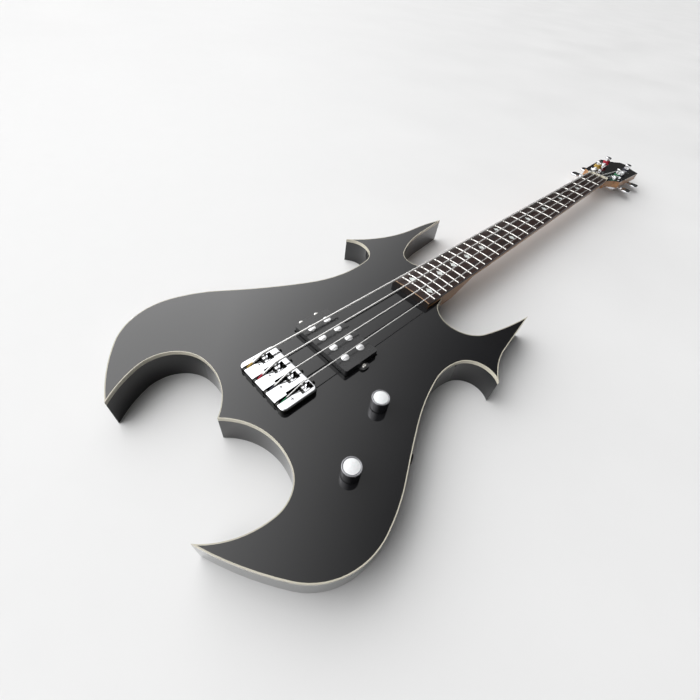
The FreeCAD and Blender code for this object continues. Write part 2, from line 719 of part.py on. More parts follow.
def make_binding(slab, neck_pocket):
    """Strip let into the top edge all round but at the neck: the outline less its inset."""
    inset = doc.addObject("Part::Offset2D", "binding_inset")
    inset.Source = slab.Group[0]
    bind(inset, "Value", -d.binding_width)
    core = doc.addObject("Part::Extrusion", "binding_core")
    core.Base = inset
    core.Dir = UP
    core.DirMode = "Custom"
    bind(core, "LengthFwd", top + PAST)
    core.Solid = True
    reach = d.scale_length
    low = top - d.binding_height
    upper = box("binding_zone", (-reach, -reach, low), (reach, reach, top + PAST))
    return cut("body_binding", common("binding_blank", slab, upper), core, neck_pocket)


def stadium(first, second, radius):
    """Points of a slot-shaped outline round two spots."""
    along = (second - first).normalize()
    side = Vector(-along.y, along.x, 0) * value(radius)
    bend = as_size(radius) * NEAR_HALF
    corners = [(first + side, bend), (first - side, 0), (second - side, bend), (second + side, 0)]
    return [(spot.x, spot.y, turn) for spot, turn in corners]


# Neck

def make_neck_shaft():
    """Heel block and shaft: one loft from the heel's square section to the round shaft."""
    body = doc.addObject("PartDesign::Body", "neck_shaft")
    heel_end = d.board_end + d.heel_length

    def section(x, depth, round_back):
        half = board_half(x)
        low = board_bottom - (d.neck_side if round_back else depth)
        rise = depth - d.neck_side
        bend = (half * half + rise * rise) / (2 * rise) if round_back else 0
        points = [(-half, board_bottom, 0), (-half, low, bend), (half, low, 0),
                  (half, board_bottom, 0)]
        return sketch_on(body, "YZ_Plane", points, x)

    heel = board_bottom - heel_floor
    sections = [
        section(d.board_end, heel, False),
        section(heel_end, heel, False),
        section(heel_end + d.heel_taper, d.neck_depth_body, True),
        section(head_start, d.neck_depth_nut, True),
    ]
    loft = body.newObject("PartDesign::AdditiveLoft", "neck_loft")
    loft.Profile = sections[0]
    loft.Sections = sections[1:]
    loft.Ruled = True
    return body


def head_outline(start):
    """Headstock outline in its own frame: a flare, straight sides, two points and a blunt tip."""
    neck = d.nut_width / 2 - d.head_neck_inset
    return [
        (start, -neck, 0), (d.head_neck_length, -neck, -d.head_flare_radius),
        (d.head_shoulder, -d.head_shoulder_half, 0),
        (d.head_point, -d.head_point_half, -d.head_scoop_radius),
        (d.head_tip, -d.head_tip_half, 0), (d.head_tip, d.head_tip_half, -d.head_scoop_radius),
        (d.head_point, d.head_point_half, 0),
        (d.head_shoulder, d.head_shoulder_half, -d.head_flare_radius),
        (d.head_neck_length, neck, 0), (start, neck, 0),
    ]


def on_head(item):
    return place(item, head_start, 0, head_level, head_turn)


def head_holes(name, radius):
    """Four cylinders through the headstock at the posts."""
    height = d.headstock_thickness * 2
    master = rod(name + "_master", radius, height, 0, 0, -d.headstock_thickness / 2)
    return copies(name, master, [tuner_frame(string) for string in STRINGS])


def make_truss():
    level = board_bottom - d.rod_axis_depth
    half = d.rod_width / 2
    bar_end = d.scale_length - d.rod_bar_gap
    bar = box("truss_bar", (d.rod_start, -half, board_bottom - d.rod_depth),
              (bar_end, half, board_bottom))
    end = rod("truss_end", d.rod_end_radius, head_start + d.rod_end_length - bar_end + PAST,
              bar_end - PAST, 0, level, ALONG)
    truss = fuse("truss_rod", bar, end)
    nut_start = head_start + d.rod_nut_start
    blank = hexagon("truss_nut_blank", d.rod_nut_radius, d.rod_nut_length, nut_start, 0, level, ALONG)
    bore = rod("truss_nut_bore", d.rod_end_radius + d.running_fit, d.rod_nut_length + PAST * 2,
               nut_start - PAST, 0, level, ALONG)
    cut("truss_rod_nut", blank, bore)
    return truss


def rod_cover():
    half = d.rod_cover_half
    shoulder = d.rod_cover_length - half
    start = d.rod_cover_start
    points = [(start, -half, 0), (shoulder, -half, half * NEAR_HALF), (shoulder, half, 0),
              (start, half, 0)]
    return on_head(padded("rod_cover_blank", points, d.rod_cover_thickness))


# Fretboard

def board_plan(name, low_x, high_x, low_z, high_z):
    low_half = board_half(low_x)
    high_half = board_half(high_x)
    points = [(low_x, -low_half, 0), (high_x, -high_half, 0), (high_x, high_half, 0),
              (low_x, low_half, 0)]
    return padded(name, points, high_z - low_z, low_z)


def make_frets():
    """Each fret is a crowned section with a tang, carried round the curve of the board."""
    radius = value(d.board_radius)
    level = value(board_top)
    axis = Vector(0, 0, level - radius)
    half = value(d.fret_width) / 2
    tang = value(d.fret_tang_width) / 2
    deep = -value(d.fret_tang_depth)
    frets = []
    slots = []
    for number in range(1, int(value(d.fret_count)) + 1):
        x = fret_x(number)

        def spot(along, rise):
            return Vector(x + along, 0, level + rise)

        crown_arc = Part.Arc(spot(-half, 0), spot(0, value(d.fret_height)), spot(half, 0)).toShape()
        under = Part.makePolygon([spot(half, 0), spot(tang, 0), spot(tang, deep), spot(-tang, deep),
                                  spot(-tang, 0), spot(-half, 0)])
        slot = Part.makePolygon([spot(-tang, deep), spot(tang, deep), spot(tang, PAST),
                                 spot(-tang, PAST), spot(-tang, deep)])
        reach = value(board_half(x) - d.fret_inset)
        angle = math.degrees(math.asin(reach / radius))
        for group, wire in ((frets, Part.Wire([crown_arc] + under.Edges)), (slots, slot)):
            face = Part.Face(wire)
            face.rotate(axis, ALONG, -angle)
            group.append(face.revolve(axis, ALONG, 2 * angle))
    feature("frets", Part.makeCompound(frets))
    return feature("fret_slots", Part.makeCompound(slots))


def make_inlays(curve):
    """Diamonds between the frets, topped by the curve of the board."""
    long = value(d.inlay_length) / 2
    wide = value(d.inlay_width) / 2
    low = value(board_top - d.inlay_depth)
    prisms = []
    places = [(number, 0) for number in SINGLE_INLAYS]
    for number in DOUBLE_INLAYS:
        places += [(number, side * value(d.inlay_pair_offset)) for side in (-1, 1)]
    for number, y in places:
        near = fret_x(number)
        far = fret_x(number - 1)
        room = (far - near - value(d.fret_width + d.inlay_length)) / 2 - value(d.string_gap)
        x = (near + far) / 2 + min(value(d.inlay_shift), room)
        corners = [Vector(x - long, y, low), Vector(x, y - wide, low), Vector(x + long, y, low),
                   Vector(x, y + wide, low)]
        face = Part.Face(Part.makePolygon(corners + corners[:1]))
        prisms.append(face.extrude(Vector(0, 0, value(d.inlay_depth) + PAST)))
    doc.recompute()
    solids = [prism.common(curve.Shape).Solids[0] for prism in prisms]
    feature("fretboard_inlays", Part.makeCompound(solids))
    return feature("inlay_pockets", Part.makeCompound(prisms))


def make_nut():
    """Nut with a slot for each string, its top on the strings' curve."""
    half = d.nut_width / 2
    rise = d.string_rise_nut
    blank = box("nut_blank", (d.scale_length, -half, board_bottom),
                (head_start, half, board_top + rise + PAST))
    curve = curved_board("nut_curve", d.scale_length - PAST, head_start + PAST,
                         d.board_radius + rise)
    slots = []
    for string in STRINGS:
        radius = d["string_" + string + "_diameter"] / 2 + d.string_gap
        middle = string_line(string, value(d.scale_length + d.nut_thickness / 2))
        slot = rod("nut_slot_" + string, radius, d.nut_thickness * 2,
                   d.scale_length - d.nut_thickness / 2, middle.y, middle.z, ALONG)
        slots.append(slot)
    return cut("nut", common("nut_curved", blank, curve), *slots)


# Bridge

def string_y(string):
    return d.saddle_spacing * string_steps[string]


def saddle_ends(string):
    """The back and the front of a saddle's block, along X; the ridge stands in front of it."""
    front = d["crest_" + string] - d.saddle_ridge_length / 2
    return front - d.saddle_length, front


def make_bridge(screws):
    """Casting with a well for each saddle, and a slot, trench and ball pocket for each string."""
    points = rounded(-d.bridge_back, -d.bridge_treble, d.bridge_front, d.bridge_bass,
                     d.bridge_corner)
    tools = []
    floor = top + d.bridge_floor
    low = top + d.trench_floor
    high = top + d.bridge_height + PAST
    end = -d.bridge_back - PAST
    for string in STRINGS:
        y = string_y(string)
        crest = d["crest_" + string]
        bass_wall = y + d.saddle_bass + d.slide_fit
        tools.append(box("well_" + string,
                         (crest - d.well_behind, y - d.saddle_treble - d.slide_fit, floor),
                         (crest + d.well_ahead, bass_wall, high)))
        tools.append(box("slot_" + string, (-d.slot_back, y - d.slot_treble, floor),
                         (crest, bass_wall, high)))
        half = d.trench_width / 2
        tools.append(box("trench_" + string, (end, y - half, low), (PAST - d.slot_back, y + half, high)))
        half = d.ball_pocket_width / 2
        tools.append(box("ball_pocket_" + string, (end, y - half, low),
                         (d.ball_pocket_length - d.bridge_back, y + half,
                          top + d.bridge_height - d.ball_roof)))
        tools.append(rod("intonation_hole_" + string, d.intonation_radius + d.running_fit,
                         d.bridge_front + PAST - crest, crest, y - d.intonation_offset,
                         top + d.intonation_rise, ALONG))
    blank = padded("bridge_blank", points, d.bridge_height, top)
    doc.recompute()
    pad = blank.Group[1]
    levels = [face.CenterOfMass.z for face in pad.Shape.Faces]
    edge = blank.newObject("PartDesign::Fillet", "bridge_edge")
    edge.Base = (pad, [f"Face{levels.index(max(levels)) + 1}"])
    bind(edge, "Radius", d.bridge_edge_radius)
    return cut("bridge_base", blank, *tools, screws)


def make_saddle(string):
    """Saddle block with a ridge under its string in front, and its two height screws."""
    name = "saddle_" + string
    y = string_y(string)
    line = string_line(string, value(d["crest_" + string]))
    radius = d["string_" + string + "_diameter"] / 2 + d.string_gap
    floor = top + d.bridge_floor
    wing_top = top + d.saddle_wing
    back, front = saddle_ends(string)
    wing = box(name + "_wing", (back, y - d.saddle_treble, floor + d.slide_fit),
               (front, y + d.saddle_bass, wing_top))
    half = d.saddle_ridge_half
    ridge = box(name + "_ridge", (front - PAST, y - half, floor + d.slide_fit),
                (front + d.saddle_ridge_length, y + half, line.z))
    through = d.saddle_length + d.saddle_ridge_length + PAST * 2
    groove = rod(name + "_groove", radius, through, back - PAST, line.y, line.z, ALONG)
    thread = rod(name + "_thread", d.intonation_radius + d.running_fit, through, back - PAST,
                 y - d.intonation_offset, top + d.intonation_rise, ALONG)
    grubs = []
    holes = []
    turn = d.height_screw_radius
    height = d.saddle_wing - d.bridge_floor - d.slide_fit + d.height_screw_proud
    for side, step in (("treble", -d.height_screw_treble), ("bass", d.height_screw_bass)):
        spot = (front - d.height_screw_behind, y + step)
        grub = rod(f"{name}_grub_{side}", turn, height, *spot, floor + d.slide_fit)
        socket = hexagon(f"{name}_socket_{side}", turn * SOCKET, turn * 2, *spot,
                         wing_top + d.height_screw_proud - turn)
        grubs.append(cut(f"{name}_screw_{side}", grub, socket))
        holes.append(rod(f"{name}_hole_{side}", turn, d.bridge_height, *spot, floor))
    solid = cut(name, fuse(name + "_solid", wing, ridge), groove, thread, *holes)
    pair = doc.addObject("Part::Compound", "saddle_height_screws_" + string)
    pair.Links = grubs
    return solid, pair


def make_intonation_screw(string):
    """Screw along X through the saddle, with its slotted head in front of the bridge."""
    name = "intonation_screw_" + string
    y = string_y(string) - d.intonation_offset
    z = top + d.intonation_rise
    start = d.bridge_front + d.running_fit
    middle = start + d.intonation_head / 2
    half = d.slot_width / 2
    radius = d.intonation_head_radius
    back, front = saddle_ends(string)
    tip = back - d.intonation_tip
    head = rod(name + "_head", radius, d.intonation_head, start, y, z, ALONG)
    shank = rod(name + "_shank", d.intonation_radius, middle - tip, tip, y, z, ALONG)
    slot = box(name + "_slot", (middle, y - half, z - radius),
               (start + d.intonation_head * 2, y + half, z + radius))
    return cut(name, fuse(name + "_solid", head, shank), slot)


# Pickup

def pole_spots():
    return [(row, d.pole_pitch * step) for row in (d.pole_row_back, d.pole_row_front)
            for step in string_steps.values()]


def ear_spots():
    middle = (d.pickup_back + d.pickup_front) / 2
    reach = d.pickup_half + d.ear_screw_offset
    return [(middle - d.ear_screw_spread, reach), (middle + d.ear_screw_spread, reach),
            (middle, -reach)]


def rods_at(name, spots, radius, low, high):
    """A group of upright cylinders, one at each spot."""
    item = doc.addObject("Part::Compound", name)
    item.Links = [rod(f"{name}_{number}", radius, high - low, x, y, low)
                  for number, (x, y) in enumerate(spots, 1)]
    return item


def make_pickup():
    high = top + d.pickup_rise
    low = top - d.pickup_sink
    wall = d.pickup_wall
    points = rounded(d.pickup_back, -d.pickup_half, d.pickup_front, d.pickup_half, d.pickup_corner)
    shell = padded("pickup_blank", points, d.pickup_rise + d.pickup_sink, low)
    inner = rounded(d.pickup_back + wall, wall - d.pickup_half, d.pickup_front - wall,
                    d.pickup_half - wall, d.pickup_corner - wall)
    hollow = padded("pickup_hollow", inner, d.pickup_rise + d.pickup_sink - d.pickup_top + PAST,
                    low - PAST)
    middle = (d.pickup_back + d.pickup_front) / 2
    ear_low = top + d.ear_gap
    ears = []
    for name, side, half in (("bass", 1, d.bass_ear_half), ("treble", -1, d.treble_ear_half)):
        inside = side * (d.pickup_half - d.ear_corner * 1.5)
        outside = side * (d.pickup_half + d.ear_reach)
        ends = (inside, outside) if side > 0 else (outside, inside)
        plan = rounded(middle - half, ends[0], middle + half, ends[1], d.ear_corner)
        ears.append(padded("ear_" + name, plan, d.ear_thickness, ear_low))
    poles = rods_at("pickup_poles", pole_spots(), d.pole_radius, low, high + d.pole_proud)
    screw_holes = rods_at("ear_holes", ear_spots(), d.pickup_screw_radius, low, high)
    cut("pickup_cover", fuse("pickup_solid", shell, *ears), hollow, poles, screw_holes)
    coils = []
    for name, row in (("back", d.pole_row_back), ("front", d.pole_row_front)):
        plan = rounded(row - d.coil_half, -d.coil_reach, row + d.coil_half, d.coil_reach,
                       d.coil_corner)
        height = d.pickup_rise + d.pickup_sink - d.pickup_top
        winding = padded("winding_" + name, plan, height, low)
        coils.append(cut("coil_" + name, winding, poles))
    pair = doc.addObject("Part::Compound", "pickup_coils")
    pair.Links = coils


def make_pickup_screws():
    """Pan-head height screws through the ears, and the rubber tubes that push the ears up."""
    head = d.pickup_screw_head
    rise = d.pickup_screw_head_height
    radius = d.pickup_screw_radius
    seat = top + d.ear_gap + d.ear_thickness
    blank = turned("pickup_screw_blank", [
        (0, rise, 0), (head * 0.6, rise, 0), (head, rise * 0.5, 0), (head, 0, 0), (radius, 0, 0),
        (radius, radius - d.pickup_screw_length, 0), (0, -d.pickup_screw_length, 0),
    ])
    half = d.slot_width / 2
    slot = box("pickup_screw_slot", (-head, -half, rise / 2), (head, half, rise * 2))
    master = cut("pickup_screw_master", blank, slot)
    copies("pickup_screws", master, [at(x, y, seat) for x, y in ear_spots()])
    low = top - d.tube_pocket
    high = top + d.ear_gap
    cut("pickup_tubes", rods_at("tube_walls", ear_spots(), d.tube_radius, low, high),
        rods_at("tube_bores", ear_spots(), d.tube_bore, low - PAST, high + PAST))


# Controls

def make_knob_master():
    """Chrome knob: a domed cap inside a rim, a long skirt and a blind bore for the shaft."""
    base = d.knob_gap
    high = d.knob_height
    dome = d.knob_dome_radius
    drop = d.knob_dome_drop
    dome_bend = (dome * dome + drop * drop) / (drop * 2)
    rim = d.knob_radius
    rim_top = high - d.knob_rim_drop
    groove = high - d.knob_groove
    chamfer = d.edge_chamfer
    bore = d.shaft_radius + d.knob_fit
    ceiling = base + d.knob_skirt_depth
    depth = d.shaft_rise + d.knob_fit
    return turned("knob_master", [
        (0, high, -dome_bend), (dome, high - drop, 0), (dome, groove, 0),
        (dome + d.knob_groove_width, groove, 0), (dome + d.knob_groove_width, rim_top, 0),
        (rim - chamfer, rim_top, 0), (rim, rim_top - chamfer, 0), (rim, base + chamfer, 0),
        (rim - chamfer, base, 0), (d.knob_skirt_bore, base, 0), (d.knob_skirt_bore, ceiling, 0),
        (bore, ceiling, 0), (bore, depth, 0), (0, depth, 0),
    ])


def make_pot_master():
    """Pot case with its threaded sleeve."""
    bore = d.shaft_radius + d.running_fit
    low = -d.cavity_skin - d.pot_depth
    chamfer = d.shaft_chamfer
    return turned("pot_master", [
        (bore, low, 0), (d.pot_radius - chamfer, low, 0), (d.pot_radius, low + chamfer, 0),
        (d.pot_radius, -d.cavity_skin, 0), (d.sleeve_radius, -d.cavity_skin, 0),
        (d.sleeve_radius, d.pot_sleeve_rise, 0), (bore, d.pot_sleeve_rise, 0),
    ])


def make_sleeve_nuts(pot_places):
    """The hexagon nuts that clamp the threaded sleeves of both pots and the jack."""
    master = cut("nut_master", hexagon("nut_hexagon", d.nut_radius, d.nut_height, 0, 0, 0),
                 rod("nut_bore", d.sleeve_radius, d.nut_height + PAST * 2, 0, 0, -PAST))
    jack_seat = jack_frame().multiply(at(0, 0, d.jack_plate_thickness - d.jack_plate_sink))
    return copies("sleeve_nuts", master, list(pot_places) + [jack_seat])


def make_wiring():
    """Straight leads in their channels: pickup to volume, volume to tone, jack to volume."""
    spot, outward = edge_middle("treble_hip")
    radius = value(d.wire_radius)
    clear = value(d.pot_radius + d.running_fit)
    middle = value(top) / 2
    entry = Vector(value(d.wire_entry_x), value(d.wire_entry_reach - d.pickup_half), 0)
    jack_end = spot - outward * value(d.jack_body_length + d.jack_plate_sink + d.wire_radius)
    runs = [
        (entry, volume_spot, 0, clear, value(d.wire_level)),
        (volume_spot, tone_spot, clear, clear, value(d.link_level)),
        (jack_end, volume_spot, 0, clear, middle),
    ]
    solids = []
    for start, end, trim_start, trim_end, level in runs:
        way = (end - start).normalize()
        first = start + way * trim_start + Vector(0, 0, level)
        length = (end - start).Length - trim_start - trim_end
        solids.append(Part.makeCylinder(radius, length, first, way))
    way = (volume_spot - entry).normalize()
    channel = Part.makeCylinder(value(d.wire_channel_radius), (volume_spot - entry).Length,
                                entry + Vector(0, 0, value(d.wire_level)), way)
    feature("wiring", Part.makeCompound(solids))
    return feature("wire_channel", channel)


# Output jack, in a frame with its origin on the body's edge and Z pointing out of it

def jack_frame():
    spot, outward = edge_middle("treble_hip")
    spot.z = value(top) / 2
    return Placement(spot, Rotation(UP.cross(outward), UP, outward, "ZXY"))


def make_jack(screws):
    frame = jack_frame()
    thick = d.jack_plate_thickness
    low = -d.jack_plate_sink
    long = d.jack_plate_length / 2
    tall = d.jack_plate_height / 2
    plate = padded("jack_plate_blank", rounded(-long, -tall, long, tall, d.jack_plate_corner), thick,
                   low)
    sleeve = rod("jack_plate_hole", d.sleeve_radius, thick * 4, 0, 0, low - thick)
    plate_bored = cut("jack_plate_bored", plate, sleeve)
    bore = d.jack_socket_radius
    back = low - d.jack_body_length
    socket = turned("jack_master", [
        (0, back, 0), (d.jack_body_radius, back, 0), (d.jack_body_radius, low, 0),
        (d.sleeve_radius, low, 0), (d.sleeve_radius, d.jack_sleeve_rise, 0),
        (bore, d.jack_sleeve_rise, 0), (bore, back + d.jack_floor, 0), (0, back + d.jack_floor, 0),
    ])
    cut("jack_plate", copies("jack_plate_placed", plate_bored, [frame]), screws)
    copies("output_jack", socket, [frame])
    return copies("jack_spot_face", plate, [frame])


def make_strap_buttons(slab):
    """Buttons on the bass edge, their feet shaped to the body, and the screws in them."""
    places = []
    for key in ("bass_horn_top", "bass_hip_peak"):
        spot, outward = edge_middle(key)
        spot.z = value(top) / 2
        places.append(Placement(spot, Rotation(UP.cross(outward), UP, outward, "ZXY")))
    bore = d.strap_screw_radius
    high = d.button_height
    foot = d.button_foot
    under = high - d.button_head
    chamfer = d.shaft_chamfer
    sink = bore * 2
    button = turned("button_master", [
        (bore, -d.button_sink, 0), (d.button_base, -d.button_sink, 0), (d.button_base, foot, 0),
        (d.button_waist, foot + d.button_flare, 0), (d.button_waist, under - d.button_flare, 0),
        (d.button_radius, under, 0), (d.button_radius, high - chamfer, 0),
        (d.button_radius - chamfer, high, 0), (sink, high, 0), (bore, high - bore, 0),
    ])
    fastener, blank = screw("strap_screw_master", sink, bore, d.strap_screw_length)
    seats = [where.multiply(at(0, 0, high)) for where in places]
    copies("strap_screws", fastener, seats)
    cut("strap_buttons", copies("buttons_raw", button, places), slab)
    return copies("strap_screw_holes", blank, seats)


# Screws that share one pattern

def small_screw_places():
    """Tuner plates, truss rod cover, control cover and jack plate."""
    places = []
    low = -d.plate_thickness
    side = d.plate_half - d.plate_screw_margin
    near = d.plate_screw_margin - d.plate_inner
    far = d.plate_outer - d.plate_screw_margin
    for string in STRINGS:
        for x, y in ((-side, near), (side, near), (-side, far), (side, far)):
            places.append(tuner_frame(string).multiply(at(x, y, low, FACE_DOWN)))
    half = d.rod_cover_half - d.cover_screw_side
    base = d.rod_cover_start + d.cover_screw_base
    tip = d.rod_cover_length - d.cover_screw_base
    for x, y in ((base, half), (base, -half), (tip, 0)):
        places.append(head_frame.multiply(at(x, y, d.rod_cover_thickness)))
    way = (tone_spot - volume_spot).normalize()
    across = Vector(-way.y, way.x, 0) * value(d.cover_screw_offset)
    for spot in (volume_spot, tone_spot):
        for step in (across, across * -1):
            places.append(Placement(spot + step, FACE_DOWN))
    seat = d.jack_plate_thickness - d.jack_plate_sink
    for step in (-1, 1):
        places.append(jack_frame().multiply(at(d.jack_screw_offset * step, 0, seat)))
    return places


def bridge_screw_places():
    high = top + d.bridge_height
    return [at(-d.bridge_screw_back, string_y(string) - d.bridge_screw_treble, high)
            for string in STRINGS]


def make_screws(name, places, head, radius, length):
    """One screw at each place; gives back the solids that cut their holes."""
    master, blank = screw(name + "_master", head, radius, length)
    copies(name, master, places)
    return copies(name + "_holes", blank, places)


def bolt_spots():
    return [(d.bolt_row_inner, d.bolt_y_inner), (d.bolt_row_inner, -d.bolt_y_inner),
            (d.bolt_row_outer, d.bolt_y_outer), (d.bolt_row_outer, -d.bolt_y_outer)]


def make_neck_bolts():
    recess = d.bolt_recess
    seat = recess + d.bolt_head_height
    radius = d.bolt_radius
    head = d.bolt_head_radius
    chamfer = d.edge_chamfer
    blank = turned("bolt_blank", [
        (0, recess, 0), (head - chamfer, recess, 0), (head, recess + chamfer, 0), (head, seat, 0),
        (radius, seat, 0), (radius, d.bolt_length - radius, 0), (0, d.bolt_length, 0),
    ])
    socket = hexagon("bolt_socket", radius, d.bolt_head_height + recess, 0, 0, -recess)
    bolt = cut("bolt_master", blank, socket)
    bore = head + d.ferrule_clearance
    ferrule = turned("ferrule_master", [
        (radius, seat, 0), (bore, seat, 0), (bore, 0, 0), (d.ferrule_radius - chamfer, 0, 0),
        (d.ferrule_radius, chamfer, 0), (d.ferrule_radius, d.ferrule_height, 0),
        (radius, d.ferrule_height, 0),
    ])
    places = [at(x, y, 0) for x, y in bolt_spots()]
    copies("neck_ferrules", ferrule, places)
    return copies("neck_screws", bolt, places)


# Assembly

def build():
    small_holes = make_screws("small_wood_screws", small_screw_places(), d.small_screw_head,
                              d.small_screw_radius, d.small_screw_length)
    bridge_holes = make_screws("bridge_screws", bridge_screw_places(), d.bridge_screw_head,
                               d.bridge_screw_radius, d.bridge_screw_length)
    neck_screws = make_neck_bolts()

    # neck, headstock and truss rod
    truss = make_truss()
    thick = d.headstock_thickness
    skin = d.veneer_thickness
    block = padded("headstock_block", head_outline(-d.head_overlap), thick - skin, -thick)
    on_head(block)
    veneer_blank = padded("veneer_blank", head_outline(d.veneer_start), skin, -skin)
    on_head(veneer_blank)
    wide = d.rod_pocket_half
    near = d.rod_pocket_start
    far = d.rod_pocket_length
    pocket = padded("truss_pocket", [(near, -wide, 0), (far, -wide, 0), (far, wide, 0),
                                     (near, wide, 0)],
                    d.rod_pocket_depth + PAST, -d.rod_pocket_depth)
    on_head(pocket)
    holes = head_holes("bushing_holes", d.bushing_radius)
    neck_solid = fuse("neck_solid", make_neck_shaft(), block)
    cut("neck", neck_solid, truss, pocket, holes, neck_screws, small_holes)
    cut("headstock_veneer", veneer_blank, pocket, holes, small_holes)
    cut("truss_rod_cover", rod_cover(), small_holes)

    # fretboard
    curve = curved_board("board_curve", d.board_end - PAST, head_start, d.board_radius)
    plan = board_plan("board_plan", d.board_end, d.scale_length, board_bottom, board_top + PAST)
    cut("fretboard", common("board_curved", plan, curve), make_frets(), make_inlays(curve))
    make_nut()

    # body
    slab = padded("body_slab", outline_points(), top)
    doc.recompute()
    neck_pocket = board_plan("neck_pocket", d.board_end, d.board_end + d.heel_length + d.heel_taper,
                             heel_floor, top + PAST)
    binding = make_binding(slab, neck_pocket)
    strap_holes = make_strap_buttons(slab)
    rout = box("pickup_rout", (d.pickup_back - d.pickup_gap, -d.pickup_half - d.pickup_gap,
                               top - d.rout_depth),
               (d.pickup_front + d.pickup_gap, d.pickup_half + d.pickup_gap, top + PAST))
    cavity = padded("control_cavity", stadium(volume_spot, tone_spot, d.cavity_radius),
                    top - d.cavity_skin + PAST, -PAST)
    ledge_radius = d.cavity_radius + d.cover_ledge
    ledge = padded("cover_ledge", stadium(volume_spot, tone_spot, ledge_radius),
                   d.cover_thickness + PAST, -PAST)
    plate = padded("control_cover_blank", stadium(volume_spot, tone_spot, ledge_radius - d.cover_fit),
                   d.cover_thickness)
    cut("control_cover", plate, small_holes)
    channel = make_wiring()
    spot_face = make_jack(small_holes)
    jack_hole = copies("jack_hole", rod("jack_hole_master", d.jack_bore_radius, d.jack_bore_length,
                                        0, 0, -d.jack_bore_length), [jack_frame()])
    pot_holes = rods_at("pot_holes", ((d.volume_x, d.volume_y), (d.tone_x, d.tone_y)),
                        d.sleeve_radius, 0, top + PAST)
    ferrule_holes = rods_at("ferrule_holes", bolt_spots(), d.ferrule_radius, -PAST, d.ferrule_height)
    tube_holes = rods_at("tube_holes", ear_spots(), d.tube_radius + d.string_gap,
                         top - d.tube_pocket, top + PAST)
    screw_low = top + d.ear_gap + d.ear_thickness - d.pickup_screw_length - PAST * 2
    screw_holes = rods_at("pickup_screw_holes", ear_spots(), d.pickup_screw_radius + d.slide_fit,
                          screw_low, top)
    cut("body", slab, neck_pocket, rout, cavity, ledge, channel, spot_face, jack_hole, pot_holes,
        ferrule_holes, neck_screws, tube_holes, screw_holes, bridge_holes, strap_holes, small_holes,
        binding)

    # bridge
    make_bridge(bridge_holes)
    for string in STRINGS:
        make_saddle(string)
        make_intonation_screw(string)
        make_string(string)

    # pickup and controls
    make_pickup()
    make_pickup_screws()
    knob = make_knob_master()
    case = make_pot_master()
    shaft_foot = d.shaft_foot_gap - d.cavity_skin - d.pot_depth
    shaft = rod("shaft_master", d.shaft_radius, d.shaft_rise - shaft_foot, 0, 0, shaft_foot)
    spots = {"volume": at(d.volume_x, d.volume_y, top), "tone": at(d.tone_x, d.tone_y, top)}
    for name, where in spots.items():
        copies(name + "_knob", knob, [where])
        copies(name + "_shaft", shaft, [where])
    copies("pot_cases", case, spots.values())
    make_sleeve_nuts(spots.values())
    low = top - d.cavity_skin - d.pot_depth - d.capacitor_radius - d.running_fit
    rod("tone_capacitor", d.capacitor_radius, d.capacitor_length, d.tone_x - d.capacitor_length / 2,
        d.tone_y + d.pot_radius / 2, low, ALONG)

    # tuners
    post = make_post()
    key_piece = make_key()
    plates = copies("plates_bored", make_plate(), [tuner_frame(string) for string in STRINGS])
    cut("tuner_plates", plates, small_holes)
    bore = d.post_radius + d.running_fit
    high = d.headstock_thickness + d.bushing_flange
    chamfer = d.edge_chamfer
    bushing = turned("bushing_master", [
        (bore, 0, 0), (d.bushing_radius, 0, 0), (d.bushing_radius, d.headstock_thickness, 0),
        (d.bushing_flange_radius, d.headstock_thickness, 0),
        (d.bushing_flange_radius, high - chamfer, 0), (d.bushing_flange_radius - chamfer, high, 0),
        (bore, high, 0),
    ])
    copies("tuner_bushings", bushing, [tuner_frame(string) for string in STRINGS])
    for string in STRINGS:
        copies("tuner_post_" + string, post, [tuner_frame(string)])
        copies("tuner_key_" + string, key_piece, [tuner_frame(string)])


NODES = [
    "body", "body_binding", "neck", "headstock_veneer", "fretboard", "frets", "fretboard_inlays",
    "nut", "truss_rod", "truss_rod_nut", "truss_rod_cover", "neck_screws", "neck_ferrules",
    "tuner_plates", "tuner_bushings", "small_wood_screws", "bridge_base", "bridge_screws",
    "pickup_cover", "pickup_poles", "pickup_coils", "pickup_screws", "pickup_tubes",
    "volume_knob", "tone_knob", "volume_shaft", "tone_shaft", "pot_cases", "sleeve_nuts",
    "tone_capacitor", "wiring", "control_cover", "output_jack", "jack_plate",
    "strap_buttons", "strap_screws",
]
for string in STRINGS:
    NODES += ["string_" + string, "tuner_post_" + string, "tuner_key_" + string, "saddle_" + string,
              "saddle_height_screws_" + string, "intonation_screw_" + string]

build()
doc.recompute()
failed = [item.Name for item in doc.Objects if "Invalid" in item.State or "Error" in item.State]
if failed:
    raise RuntimeError("failed objects: " + ", ".join(failed))
for name in NODES:
    shape = doc.getObject(name).Shape
    if shape.isNull() or not shape.isValid() or not shape.Solids:
        raise RuntimeError("bad shape: " + name)
os.makedirs("parts", exist_ok=True)
for name in NODES:
    doc.getObject(name).Shape.exportStep(f"parts/{name}.step")
print(len(NODES), "pieces written")
